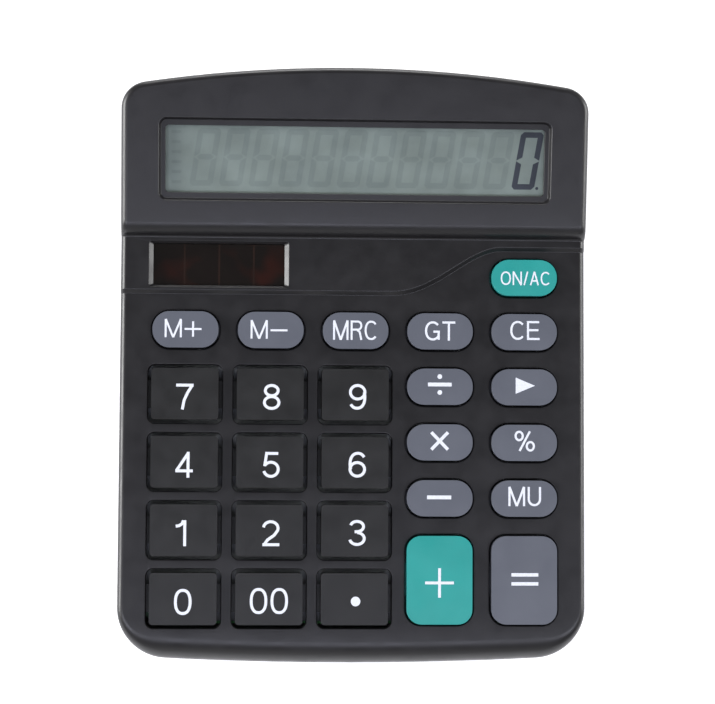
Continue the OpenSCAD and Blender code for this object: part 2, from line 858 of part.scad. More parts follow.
module power_capacitor() {
    can_radius = 2.5;
    color("#23305c") on_deck() translate([40, 86, board_low - can_radius - 0.2]) rotate([0, 90, 0]) {
        cylinder(r = can_radius, h = 8);
        translate([0, 0, 8]) cylinder(r = can_radius - 0.5, h = 0.4);
    }
}

// ==== display =============================================================================

module display_lens() {
    color([0.85, 0.9, 0.9, 0.4]) on_head() translate([0, view_t, 0]) {
        rounded_plate(view_width - 2 * lens_plug_gap, view_height - 2 * lens_plug_gap, 0.7,
            -skin - 0.2, -recess_depth);
        rounded_plate(view_width + 2 * lens_flange, view_height + 2 * lens_flange, 1, lens_low, -skin - 0.05);
    }
}

// A flat layer of the display, from its low face up.
module lcd_layer(width, height, centre_t, low, thickness) {
    on_head() translate([0, centre_t, low + thickness / 2]) cube([width, height, thickness], center = true);
}

module lcd_polarizer() {
    color("#77807a") lcd_layer(lcd_width - 1, lcd_front_height - 1, view_t, polarizer_low, polarizer_thickness);
}

module lcd_front_glass() {
    color("#8a948e") lcd_layer(lcd_width, lcd_front_height, view_t, front_glass_low, glass_thickness);
}

module lcd_rear_glass() {
    color("#7d8781") lcd_layer(lcd_width, lcd_front_height + lcd_ledge, view_t - lcd_ledge / 2,
        rear_glass_low, glass_thickness);
}

module lcd_reflector() {
    color("#a9b0aa") lcd_layer(lcd_width - 1, lcd_front_height - 1, view_t, reflector_low, 0.2);
}

module lcd_frame() {
    frame_centre_t = (frame_front_t + frame_rear_t) / 2;
    frame_height = frame_rear_t - frame_front_t;
    lcd_centre_t = view_t - lcd_ledge / 2;
    lcd_rear_height = lcd_front_height + lcd_ledge;
    color("#2a2a2d") on_head() difference() {
        union() {
            translate([0, frame_centre_t, (frame_back_low - skin - 0.05) / 2])
                cube([2 * frame_half_width, frame_height, -skin - 0.05 - frame_back_low], center = true);
            for (x = [-1, 1])
                for (t = frame_post_t)
                    translate([x * (frame_half_width + 1), t, frame_back_low + 0.6])
                        cube([5.4, 5, 1.2], center = true);
        }
        // Pocket for the glass, open to the front.
        translate([0, lcd_centre_t, reflector_low - 0.05])
            translate([-lcd_width / 2 - 0.2, -lcd_rear_height / 2 - 0.2, 0])
                cube([lcd_width + 0.4, lcd_rear_height + 0.4, 10]);
        // Window in the back, and a slot for the ribbon at the front edge.
        translate([0, view_t + 1, 0]) cube([lcd_width - 8, lcd_front_height - 8, 30], center = true);
        translate([0, frame_front_t, frame_back_low]) cube([56, 6.6, 2.2], center = true);
        for (x = [-frame_post_x, frame_post_x])
            for (t = frame_post_t)
                translate([x, t, frame_back_low - 1]) cylinder(r = frame_post_radius + 0.1, h = 5);
        // Clearance round the rear bosses, which stand upright.
        for (place = housing_screw_places)
            rotate([-head_slope, 0, 0]) translate([place[0], place[1] - head_front_y, -20])
                cylinder(r = housing_boss_radius + 0.4, h = 40);
    }
}

// Flexible printed ribbon from the lower ledge of the glass to the underside of the board.
module lcd_ribbon() {
    thickness = 0.2;
    ribbon_width = 36;
    route = [
        [41.6, 22.35], [39.4, 21.3], [36, 18.6], [32, 15.2], [28, 12.9], [24, 11.9], [20, 12.1],
        [16.8, 13.25], [14, 13.0]
    ];
    underside = [for (i = [len(route) - 1 : -1 : 0]) route[i] - [0, thickness]];
    color("#b0793a") across(concat(route, underside), ribbon_width);
}

// ==== solar panel =========================================================================

module solar_window() {
    color([0.2, 0.12, 0.1, 0.6]) on_deck() translate([solar_x, solar_v, 0]) {
        rounded_plate(solar_width - 0.2, solar_height - 0.2, 0.4, solar_window_low - 0.4, upper_rise - 0.9);
        rounded_plate(solar_width + 3, solar_height + 2.6, 0.4, solar_window_low - 0.5, upper_rise - 2.05);
    }
}

module solar_cell() {
    color("#1c1413") on_deck() translate([solar_x, solar_v, solar_cell_low - 0.6])
        rounded_plate(solar_width + 2, solar_height + 2, 0.3, 0, 1.1);
}

// ==== wires and contacts ==================================================================

function unit(v) = v / norm(v);

// Points along smooth curves through the given points.
function spline(points, steps) = concat(
    [
        for (i = [0 : len(points) - 2])
            let (
                a = points[max(i - 1, 0)],
                b = points[i],
                c = points[i + 1],
                d = points[min(i + 2, len(points) - 1)]
            )
            for (s = [0 : steps - 1])
                let (t = s / steps)
                b + (c - a) / 2 * t + (a - 2.5 * b + 2 * c - d / 2) * pow(t, 2)
                    + ((3 * b - a - 3 * c + d) / 2) * pow(t, 3)
    ],
    [points[len(points) - 1]]
);

// A round wire along a path that never runs straight along reference.
module wire(path, radius, reference) {
    sides = 8;
    last = len(path) - 1;
    rings = [
        for (i = [0 : last])
            let (
                along = unit(path[min(i + 1, last)] - path[max(i - 1, 0)]),
                across_way = unit(cross(reference, along)),
                other_way = cross(along, across_way)
            )
            for (k = [0 : sides - 1])
                let (a = 360 * k / sides)
                path[i] + radius * (cos(a) * across_way + sin(a) * other_way)
    ];
    polyhedron(rings, concat(
        [
            for (i = [0 : last - 1])
                for (k = [0 : sides - 1])
                    let (m = (k + 1) % sides)
                    [i * sides + k, (i + 1) * sides + k, (i + 1) * sides + m, i * sides + m]
        ],
        [
            [for (k = [0 : sides - 1]) k],
            [for (k = [sides - 1 : -1 : 0]) last * sides + k]
        ]
    ), convexity = 6);
}

wire_radius = 0.6;
wire_steps = 4;

module solar_wires() {
    left_route = [[-48, 22.6, 19], [-48.5, 20.4, 15], [-47.5, 16.5, 12], [-44, 11, 11.4], [-40, 6, 12]];
    right_route = [[-21, 22.6, 19], [-21.5, 20.4, 15], [-23, 16.5, 12], [-28, 11, 11.4], [-32, 6, 12]];
    color("#b03030") wire(spline(left_route, wire_steps), wire_radius, [1, 0, 0]);
    color("#222222") wire(spline(right_route, wire_steps), wire_radius, [1, 0, 0]);
}

module battery_wires() {
    plus_route = [
        [27.75, 47, 20.7], [28.2, 43, 20.9], [30.5, 39.5, 17.5], [33.5, 36.5, 10.5], [33, 26, 7.5],
        [31, 14, 8.5], [28, 6, 12]
    ];
    minus_route = [
        [-27.75, 47, 20.7], [-28.2, 43, 20.9], [-30.5, 39.5, 17.5], [-33, 36.5, 10.5], [-30, 26, 7.5],
        [-20, 14, 8.5], [-14, 6, 12]
    ];
    color("#b03030") wire(spline(plus_route, wire_steps), wire_radius, [1, 0, 0]);
    color("#222222") wire(spline(minus_route, wire_steps), wire_radius, [1, 0, 0]);
}

module battery_cell() {
    body_end = cell_length - 1.4;
    shrink_gap = 0.2;
    color("#2e6b4a") translate([spring_end_x, cell_y, cell_z]) rotate([0, 90, 0]) {
        difference() {
            cylinder(d = cell_diameter, h = body_end);
            cylinder(d = cell_diameter - 3, h = shrink_gap);
            translate([0, 0, body_end - shrink_gap]) cylinder(d = cell_diameter - 2.4, h = 1);
        }
        cylinder(d = 9, h = 1);
        translate([0, 0, body_end - 1]) cylinder(d = 5.3, h = 2.4);
    }
}

contact_thickness = 0.4;
contact_low_z = 5.2;
contact_high_z = 20.8;

// Flat contact plate with a solder tab that passes up through the bay's ceiling.
module contact_sheet(x) {
    translate([x, cell_y - contact_width / 2, contact_low_z])
        cube([contact_thickness, contact_width, contact_high_z - contact_low_z]);
}

module battery_plate() {
    dimple = 0.3;
    color("#c9ccd0") {
        contact_sheet(bay_half_length - contact_thickness - 0.05);
        translate([cell_end_x + 0.02, cell_y, cell_z]) rotate([0, 90, 0])
            cylinder(r = 3.2, h = bay_half_length - contact_thickness - cell_end_x + dimple - 0.27);
    }
}

module battery_spring() {
    turns = 3.5;
    steps_per_turn = 16;
    spring_wire_radius = 0.4;
    base_x = -bay_half_length + contact_thickness + 0.05 + spring_wire_radius - 0.1;
    tip_x = spring_end_x - spring_wire_radius - 0.02;
    wide_radius = 4.6;
    narrow_radius = 2.4;
    count = turns * steps_per_turn;
    coil = [
        for (i = [0 : count])
            let (
                f = i / count,
                a = 360 * i / steps_per_turn,
                r = wide_radius + (narrow_radius - wide_radius) * f
            )
            [base_x + (tip_x - base_x) * f, cell_y + r * cos(a), cell_z + r * sin(a)]
    ];
    color("#c9ccd0") {
        contact_sheet(-bay_half_length + 0.05);
        wire(coil, spring_wire_radius, [1, 0, 0]);
    }
}

module battery_door() {
    plate_high = floor_z + floor_thickness - 0.2;
    hook_low = floor_z + floor_thickness + 0.15;
    hook_high = hook_low + 1;
    length = 2 * (bay_half_length - door_gap);
    depth = 2 * (bay_half_width - door_gap);
    color("#333236") {
        difference() {
            translate([-length / 2, door_front_y + door_gap, floor_z + 0.05])
                cube([length, depth, plate_high - floor_z - 0.05]);
            // Raised grip ribs are left between shallow grooves.
            for (i = [0 : 4])
                translate([-9, door_front_y + depth - 3 - 1.6 * i, floor_z - 0.5]) cube([18, 0.8, 0.95]);
        }
        // Two hooks that reach over the edge of the opening.
        for (x = [-door_hook_x, door_hook_x]) {
            translate([x - door_hook_width / 2, door_front_y + door_gap, plate_high - 0.2])
                cube([door_hook_width, 1, hook_high - plate_high + 0.2]);
            translate([x - door_hook_width / 2, door_front_y - bay_wall + 0.1, hook_low])
                cube([door_hook_width, bay_wall + 0.6, hook_high - hook_low]);
        }
        // Snap tongue at the rear edge.
        translate([-5, door_front_y + depth - 1.2, plate_high - 0.2]) cube([10, 0.9, 2.6]);
        // Ribs that stiffen the door, either side of the tongue.
        for (x = [-24, -10, 10, 24])
            translate([x - 0.5, door_front_y + 3, plate_high - 0.2]) cube([1, depth - 6, 0.8]);
    }
}

// ==== screws and feet =====================================================================

// A pan head screw pointing up, with its head's underside at z = 0.
module screw(shank_radius, length, head_radius, head_height) {
    difference() {
        union() {
            cylinder(r = shank_radius, h = length);
            translate([0, 0, -head_height]) cylinder(r = head_radius, h = head_height);
        }
        // Cross recess.
        for (turn = [0, 90])
            rotate([0, 0, turn]) translate([0, 0, -head_height])
                cube([head_radius * 1.2, head_radius * 0.26, head_height], center = true);
    }
}

module housing_screws() {
    color("#8f9296") for (place = housing_screw_places)
        translate([place[0], place[1], screw_head_seat_z])
            screw(1.15, top_pilot_z(place[1]) - screw_head_seat_z - 0.6, screw_head_radius, 1.5);
}

module board_screws() {
    color("#8f9296") on_deck() for (place = board_screw_places)
        translate([place[0], place[1], board_low]) screw(0.95, 4.6, 1.9, 1.1);
}

module rubber_feet() {
    color("#1f1f21") for (place = foot_places)
        translate([place[0], place[1], 0]) cylinder(d = foot_diameter, h = foot_height - 0.02);
}

// ==== parts ===============================================================================

top_housing();
bottom_housing();
key_0();
key_1();
key_2();
key_3();
key_4();
key_5();
key_6();
key_7();
key_8();
key_9();
key_double_zero();
key_point();
key_memory_plus();
key_memory_minus();
key_memory_recall();
key_grand_total();
key_clear_entry();
key_divide();
key_backspace();
key_multiply();
key_percent();
key_subtract();
key_markup();
key_power();
key_add();
key_equals();
rubber_keypad();
main_board();
chip_blob();
power_capacitor();
display_lens();
lcd_polarizer();
lcd_front_glass();
lcd_rear_glass();
lcd_reflector();
lcd_frame();
lcd_ribbon();
solar_window();
solar_cell();
solar_wires();
battery_cell();
battery_spring();
battery_plate();
battery_wires();
battery_door();
housing_screws();
board_screws();
rubber_feet();
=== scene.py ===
"""Looks of the desktop calculator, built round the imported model.

Lengths are in millimetres until a mesh is made. Two slanted planes carry everything that shows on top:
the key deck, with points given as (x, v up the deck, w out of it), and the display head, (x, t, n).
"""

import json
from math import asin, ceil, copysign, cos, dist, hypot, pi, radians, sin, sqrt, tan

import bmesh
import bpy
from mathutils import Matrix, Vector
from mathutils.geometry import delaunay_2d_cdt


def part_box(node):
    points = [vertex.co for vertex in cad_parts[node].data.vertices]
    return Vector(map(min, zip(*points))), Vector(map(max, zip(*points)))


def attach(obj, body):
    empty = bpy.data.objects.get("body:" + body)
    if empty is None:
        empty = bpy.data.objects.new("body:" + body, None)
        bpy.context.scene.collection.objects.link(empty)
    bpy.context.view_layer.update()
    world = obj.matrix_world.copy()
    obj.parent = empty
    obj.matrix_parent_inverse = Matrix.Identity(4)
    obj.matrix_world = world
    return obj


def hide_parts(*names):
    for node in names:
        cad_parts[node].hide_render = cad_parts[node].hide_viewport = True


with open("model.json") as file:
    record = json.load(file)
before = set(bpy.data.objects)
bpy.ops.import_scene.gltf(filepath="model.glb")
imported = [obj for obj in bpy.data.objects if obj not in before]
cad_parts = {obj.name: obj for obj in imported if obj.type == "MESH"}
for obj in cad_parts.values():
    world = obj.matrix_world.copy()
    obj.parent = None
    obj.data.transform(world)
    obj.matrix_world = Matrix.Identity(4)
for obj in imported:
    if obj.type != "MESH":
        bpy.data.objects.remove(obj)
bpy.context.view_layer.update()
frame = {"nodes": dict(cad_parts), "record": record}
MM = 0.001


def box_mm(node):
    """A CAD node's lowest and highest corner, in millimetres."""
    low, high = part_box(node)
    return low / MM, high / MM


# ---- the shape that the looks follow ----

HALF_WIDTH, HALF_LENGTH, TOP_Z = box_mm("top_housing")[1]

# The key deck, the display head behind its lip, and the joint with the bottom housing.
DECK_FRONT_HEIGHT = 13.0
DECK_SLOPE = radians(5.5)
HEAD_SLOPE = radians(16.0)
LIP_Y = 33.5
HEAD_REAR_HEIGHT = 38.0
HEAD_REAR_INSET = 2.7
PARTING_FRONT_HEIGHT = 6.5
PARTING_SLOPE = radians(2.5)

# Thickness of the top and of the sides, and how far the solar deck stands above the key deck.
SKIN = 2.2
WALL = 2.0
UPPER_RISE = 0.8

# Outline in plan, draft of the walls and rounding of the top edge.
FRONT_CORNER_RADIUS = 12.5
REAR_CORNER_RADIUS = 7.5
FRONT_BOW_RADIUS = 960.0
REAR_BOW_RADIUS = 350.0
SIDE_DRAFT = tan(radians(0.8))
REAR_DRAFT = tan(radians(2.6))
SIDE_EDGE_RADIUS = 1.6
FRONT_EDGE_RADIUS = 5.0
HEAD_EDGE_RADIUS = 1.8


def spaced(start, end, steps):
    """Evenly spaced values from start to end, both included."""
    return [start + (end - start) * i / steps for i in range(steps + 1)]


def slope_plane(height, y, slope):
    """A plane that has this height at y and rises to the rear, as (height at y = 0, rise per unit)."""
    return height - y * tan(slope), tan(slope)


DECK_PLANE = slope_plane(DECK_FRONT_HEIGHT, -HALF_LENGTH, DECK_SLOPE)
HEAD_PLANE = slope_plane(HEAD_REAR_HEIGHT, HALF_LENGTH - HEAD_REAR_INSET, HEAD_SLOPE)
PARTING_PLANE = slope_plane(PARTING_FRONT_HEIGHT, -HALF_LENGTH, PARTING_SLOPE)


def plane_z(plane, y):
    return plane[0] + plane[1] * y


def on_deck(x, v, w):
    """A point given on the key deck."""
    return (
        x,
        -HALF_LENGTH + v * cos(DECK_SLOPE) - w * sin(DECK_SLOPE),
        DECK_FRONT_HEIGHT + v * sin(DECK_SLOPE) + w * cos(DECK_SLOPE),
    )


def on_head(x, t, n):
    """A point given on the display head."""
    return (
        x,
        LIP_Y + t * cos(HEAD_SLOPE) - n * sin(HEAD_SLOPE),
        plane_z(HEAD_PLANE, LIP_Y) + t * sin(HEAD_SLOPE) + n * cos(HEAD_SLOPE),
    )


def step_profile(foot, top, rise, lean):
    """(distance, share of the rise) across a step; foot and top are its rounding radii, lean its slope."""
    steps = 5
    face = (rise - (foot + top) * (1 - cos(lean))) / sin(lean)
    points = [(foot * sin(a), foot * (1 - cos(a))) for a in spaced(0, lean, steps)]
    x = points[-1][0] + face * cos(lean)
    z = points[-1][1] + face * sin(lean)
    for a in spaced(lean, 0, steps):
        points.append((x + top * (sin(lean) - sin(a)), z + top * (cos(a) - cos(lean))))
    middle = points[-1][0] / 2
    return [(px - middle, pz / rise) for px, pz in points]


LIP_RISE = plane_z(HEAD_PLANE, LIP_Y) - plane_z(DECK_PLANE, LIP_Y) - UPPER_RISE
LIP_PROFILE = step_profile(foot=0.6, top=2.7, rise=LIP_RISE, lean=radians(76))
UPPER_PROFILE = step_profile(foot=0.3, top=0.4, rise=UPPER_RISE, lean=radians(42))


def profile_share(profile, distance):
    """How far a step has risen at a distance from its middle, from 0 to 1."""
    if distance <= profile[0][0]:
        return 0.0
    for (a, low), (b, high) in zip(profile, profile[1:]):
        if distance <= b:
            return low + (high - low) * (distance - a) / (b - a)
    return 1.0


# Front edge of the solar deck: x where its sweep starts and ends, and its place up the deck beyond them.
SWEEP_START, SWEEP_END = 9.0, 37.5
STEP_LEFT_V, STEP_RIGHT_V = 92.8, 104.3
SWEEP_SKEW = 1.15


def upper_step_y(x):
    """Y of the front edge of the solar deck, which sweeps rearwards on the right."""
    part = min(1.0, max(0.0, (x - SWEEP_START) / (SWEEP_END - SWEEP_START))) ** SWEEP_SKEW
    v = STEP_LEFT_V + (STEP_RIGHT_V - STEP_LEFT_V) * part * part * (3 - 2 * part)
    return -HALF_LENGTH + v * cos(DECK_SLOPE)


def sweep_stretch(x):
    """How much longer a slanting step is measured along Y than squarely across it."""
    small = 0.05
    return hypot(1, (upper_step_y(x + small) - upper_step_y(x - small)) / (2 * small))


def top_z(x, y):
    """Height of the top surface, before its outer edge is rounded."""
    distance = (y - upper_step_y(x)) / sweep_stretch(x)
    rise = UPPER_RISE / cos(DECK_SLOPE)
    deck = plane_z(DECK_PLANE, y) + rise * profile_share(UPPER_PROFILE, distance)
    return deck + (plane_z(HEAD_PLANE, y) - deck) * profile_share(LIP_PROFILE, y - LIP_Y)


INNER_STEP_Y = LIP_Y + WALL
INNER_STEP_WIDTH = 0.02


def underside_z(y):
    """Height of the inner side of the skin."""
    if y <= INNER_STEP_Y:
        return plane_z(DECK_PLANE, y) - SKIN / cos(DECK_SLOPE)
    return plane_z(HEAD_PLANE, y) - SKIN / cos(HEAD_SLOPE)


# ---- mesh building ----


def added(name, data):
    """A new object in the scene."""
    piece = bpy.data.objects.new(name, data)
    bpy.context.scene.collection.objects.link(piece)
    return piece


def modify(piece, name, kind, **settings):
    """Adds a modifier with these settings."""
    modifier = piece.modifiers.new(name, kind)
    for setting, value in settings.items():
        setattr(modifier, setting, value)


def around(items):
    """Each item with the next one, and the last with the first."""
    return zip(items, items[1:] + items[:1])


def inside(point, polygon):
    """True if a plan point is inside a polygon."""
    x, y = point
    odd = False
    for (ax, ay), (bx, by) in around(polygon):
        if (ay > y) != (by > y) and x < ax + (bx - ax) * (y - ay) / (by - ay):
            odd = not odd
    return odd


class Shape:
    """Points in millimetres and the faces between them."""

    def __init__(self):
        self.points = []
        self.faces = []

    def ring(self, points):
        start = len(self.points)
        self.points.extend(points)
        return list(range(start, len(self.points)))

    def skin(self, first, second):
        """Quads between two closed rings."""
        for (a, b), (c, d) in zip(around(first), around(second)):
            self.faces.append((a, b, d, c))

    def skins(self, rings):
        for first, second in zip(rings, rings[1:]):
            self.skin(first, second)

    def cap(self, ring):
        """A fan of triangles from a ring to the middle of its points."""
        middle = sum((Vector(self.points[i]) for i in ring), Vector()) / len(ring)
        centre = self.ring([tuple(middle)])[0]
        for i, k in around(ring):
            self.faces.append((i, k, centre))

    def fill(self, outer, holes=(), lines=()):
        """Triangles, seen in plan, inside the outer ring and outside the holes, that follow the lines."""
        loops = [outer, *holes]
        wanted = list(dict.fromkeys(i for path in [*loops, *lines] for i in path))
        place = {index: n for n, index in enumerate(wanted)}
        edges = [(place[a], place[b]) for loop in loops for a, b in around(loop)]
        edges += [(place[a], place[b]) for line in lines for a, b in zip(line, line[1:])]
        plan = [Vector(self.points[i][:2]) for i in wanted]
        found, _, triangles, origins, _, _ = delaunay_2d_cdt(plan, edges, [], 0, 1e-6, True)
        polygons = [[tuple(self.points[i][:2]) for i in loop] for loop in loops]
        for triangle in triangles:
            middle = sum((found[i] for i in triangle), Vector((0, 0))) / 3
            if inside(middle, polygons[0]) and not any(inside(middle, p) for p in polygons[1:]):
                self.faces.append(tuple(wanted[origins[i][0]] for i in triangle))

    def prism(self, outline, place, low, high):
        """A straight-sided block from a closed outline; place turns (x, y, height) into a point."""
        rings = [self.ring([place(x, y, h) for x, y in outline]) for h in (low, high)]
        self.skin(*rings)
        for ring in rings:
            self.cap(ring)

    def make(self, name, material, body, replaces=(), slot=None, sharp=40):
        """The mesh object, smooth except across edges sharper than an angle, riding on its body."""
        mesh = bpy.data.meshes.new(name)
        mesh.from_pydata([Vector(p) * MM for p in self.points], [], self.faces)
        bm = bmesh.new()
        bm.from_mesh(mesh)
        bmesh.ops.recalc_face_normals(bm, faces=bm.faces)
        for face in bm.faces:
            face.smooth = True
        for edge in bm.edges:
            edge.smooth = edge.is_manifold and edge.calc_face_angle(0) < radians(sharp)
        bm.to_mesh(mesh)
        bm.free()
        mesh.materials.append(material)
        piece = added(name, mesh)
        modify(piece, "normals", "WEIGHTED_NORMAL", keep_sharp=True)
        if replaces:
            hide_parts(*replaces)
        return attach(piece, body)


def rounded(width, height, radius, steps=8):
    """Rounded rectangle round the origin, anticlockwise."""
    points = []
    for quarter, (sx, sy) in enumerate(((1, 1), (-1, 1), (-1, -1), (1, -1))):
        for turn in spaced(90 * quarter, 90 * quarter + 90, steps):
            a = radians(turn)
            points.append((
                sx * (width / 2 - radius) + radius * cos(a),
                sy * (height / 2 - radius) + radius * sin(a),
            ))
    return points


def circle(radius, steps=32):
    return [(radius * cos(a), radius * sin(a)) for a in spaced(0, 2 * pi, steps)[:-1]]


def quarter_round(radius, steps=4):
    """(inset, drop) along a rounded edge, from the flat face to the wall below it."""
    return [(radius * (1 - sin(a)), radius * (1 - cos(a))) for a in spaced(0, pi / 2, steps)]


# ---- materials ----


def srgb(red, green, blue):
    """Screen colour, 0 to 255, as scene linear."""
    return tuple(
        c / 12.92 if c <= 0.04045 else ((c + 0.055) / 1.055) ** 2.4
        for c in (red / 255, green / 255, blue / 255)
    ) + (1.0,)


def darker(colour, part):
    """A colour with its light cut down to a part."""
    return tuple(c * part for c in colour[:3]) + (1.0,)


class Finish:
    """A procedural material that starts from one Principled shader."""

    def __init__(self, name, roughness, **sockets):
        self.material = bpy.data.materials.new(name)
        self.material.use_nodes = True
        self.tree = self.material.node_tree
        self.shader = self.tree.nodes["Principled BSDF"]
        self.shader.inputs["Roughness"].default_value = roughness
        for socket, value in sockets.items():
            self.shader.inputs[socket.replace("_", " ")].default_value = value
        self.place = self.add("ShaderNodeTexCoord").outputs["Object"]

    def add(self, kind, inputs=None, **settings):
        """A new node with these values on its input sockets and these settings of its own."""
        node = self.tree.nodes.new(kind)
        for name, value in settings.items():
            setattr(node, name, value)
        for socket, value in (inputs or {}).items():
            node.inputs[socket].default_value = value
        return node

    def link(self, out, socket):
        self.tree.links.new(out, socket)

    def noise(self, size_mm, detail=2.0, stretch=(1, 1, 1)):
        """Noise whose features are about this many millimetres across."""
        mapping = self.add("ShaderNodeMapping", {"Scale": stretch})
        self.link(self.place, mapping.inputs["Vector"])
        noise = self.add("ShaderNodeTexNoise", {"Scale": 1 / (size_mm * MM), "Detail": detail})
        self.link(mapping.outputs["Vector"], noise.inputs["Vector"])
        return noise.outputs["Fac"]

    def ramp(self, factor, stops):
        """Colours or greys along a factor, as (position, colour)."""
        ramp = self.add("ShaderNodeValToRGB")
        elements = ramp.color_ramp.elements
        while len(elements) < len(stops):
            elements.new(0.5)
        for element, (position, colour) in zip(elements, stops):
            element.position = position
            element.color = colour
        self.link(factor, ramp.inputs["Fac"])
        return ramp.outputs["Color"]

    def colour(self, factor, low, high, start=0.3, end=0.7):
        self.link(self.ramp(factor, [(start, low), (end, high)]), self.shader.inputs["Base Color"])

    def vary_roughness(self, factor, low, high):
        limits = {"From Min": 0.3, "From Max": 0.7, "To Min": low, "To Max": high}
        spread = self.add("ShaderNodeMapRange", limits)
        self.link(factor, spread.inputs["Value"])
        self.link(spread.outputs["Result"], self.shader.inputs["Roughness"])

    def maths(self, operation, first, second):
        """Output of a Math node; each operand is a number or another node's output."""
        node = self.add("ShaderNodeMath", operation=operation)
        for value, socket in zip((first, second), node.inputs):
            if isinstance(value, (int, float)):
                socket.default_value = value
            else:
                self.link(value, socket)
        return node.outputs["Value"]

    def surface(self, share, first, second):
        """Makes the surface of two shaders, mixed by a share."""
        mix = self.add("ShaderNodeMixShader")
        for out, socket in zip((share, first, second), mix.inputs):
            self.link(out, socket)
        self.link(mix.outputs["Shader"], self.tree.nodes["Material Output"].inputs["Surface"])

    def bumps(self, layers):
        """Bumps on top of each other, as (factor, height in millimetres)."""
        normal = None
        for factor, height in layers:
            bump = self.add("ShaderNodeBump", {"Distance": height * MM})
            self.link(factor, bump.inputs["Height"])
            if normal is not None:
                self.link(normal, bump.inputs["Normal"])
            normal = bump.outputs["Normal"]
        self.link(normal, self.shader.inputs["Normal"])


def plastic(name, low, high, roughness, grain_mm, grain_height, specular=0.5):
    """Spark-eroded or satin moulded plastic: fine grain, faint flow mottling and uneven sheen."""
    finish = Finish(name, roughness, Specular_IOR_Level=specular)
    finish.colour(finish.noise(14, 3), srgb(*low), srgb(*high))
    finish.vary_roughness(finish.noise(5, 4), roughness - 0.05, roughness + 0.05)
    finish.bumps([(finish.noise(grain_mm), grain_height), (finish.noise(9, 1), 0.01)])
    return finish.material


def printed_ink(name, colour):
    """Pad-printed ink, slightly uneven in cover."""
    finish = Finish(name, 0.42)
    finish.colour(finish.noise(0.5, 3), darker(colour, 0.9), colour)
    finish.bumps([(finish.noise(0.25), 0.004)])
    return finish.material


def metal(name, colour, roughness):
    """Plated or stamped metal with fine drawing marks."""
    finish = Finish(name, roughness, Metallic=1.0)
    finish.colour(finish.noise(1.5, 4, (1, 6, 1)), darker(colour, 0.75), colour)
    finish.vary_roughness(finish.noise(0.8, 3), roughness - 0.08, roughness + 0.1)
    finish.bumps([(finish.noise(0.3, 2, (1, 8, 1)), 0.004)])
    return finish.material


def see_through(name, tint, gloss):
    """Clear or tinted sheet: what is behind it shows, and faces that look outwards mirror a little."""
    finish = Finish(name, 0.1)
    finish.tree.nodes.remove(finish.shader)
    clear = finish.add("ShaderNodeBsdfTransparent")
    mirror = finish.add("ShaderNodeBsdfGlossy", {"Color": (gloss, gloss, gloss, 1), "Roughness": 0.06})
    fresnel = finish.add("ShaderNodeFresnel", {"IOR": 1.45})
    backfacing = finish.add("ShaderNodeNewGeometry").outputs["Backfacing"]
    share = finish.maths("MULTIPLY", fresnel.outputs["Fac"], finish.maths("SUBTRACT", 1, backfacing))
    tints = finish.ramp(finish.noise(7, 3), [(0.3, tint), (0.7, darker(tint, 0.93))])
    finish.link(tints, clear.inputs["Color"])
    finish.surface(share, clear.outputs["BSDF"], mirror.outputs["BSDF"])
    return finish.material


def display_back(name, low, high):
    """Reflective rear of the display: pale grey-green with a faint fine streaking."""
    finish = Finish(name, 0.5, Specular_IOR_Level=0.2)
    finish.colour(finish.noise(6, 4), low, high)
    finish.vary_roughness(finish.noise(3), 0.45, 0.55)
    return finish.material


def solar_film(name):
    """Amorphous silicon film in strips, parted by thin laser lines."""
    finish = Finish(name, 0.3)
    low, high = box_mm("solar_cell")
    strips = 4
    pitch = (high.x - low.x) / strips * MM
    half_line = 0.22 * MM
    split = finish.add("ShaderNodeSeparateXYZ")
    finish.link(finish.place, split.inputs["Vector"])
    from_end = finish.maths("SUBTRACT", split.outputs["X"], low.x * MM)
    from_line = finish.maths("PINGPONG", from_end, pitch / 2)
    film = finish.ramp(finish.noise(13), [(0.46, srgb(52, 48, 48)), (0.66, srgb(138, 66, 48))])
    # The mix node's inputs 6 and 7 are its two colours.
    mix = finish.add("ShaderNodeMix", {7: srgb(104, 84, 76)}, data_type="RGBA")
    finish.link(finish.maths("LESS_THAN", from_line, half_line), mix.inputs[0])
    finish.link(film, mix.inputs[6])
    finish.link(mix.outputs[2], finish.shader.inputs["Base Color"])
    finish.bumps([(finish.noise(0.4), 0.002)])
    return finish.material


def circuit_board(name):
    """Green solder mask over faint copper tracks."""
    finish = Finish(name, 0.35)
    mask, darker_mask, track = srgb(32, 92, 52), srgb(26, 78, 44), srgb(64, 128, 76)
    looks = {"Scale": 90, "Color1": mask, "Color2": darker_mask, "Mortar": track}
    tracks = finish.add("ShaderNodeTexBrick", looks)
    finish.link(finish.place, tracks.inputs["Vector"])
    finish.link(tracks.outputs["Color"], finish.shader.inputs["Base Color"])
    finish.bumps([(tracks.outputs["Fac"], 0.03), (finish.noise(0.6), 0.01)])
    return finish.material


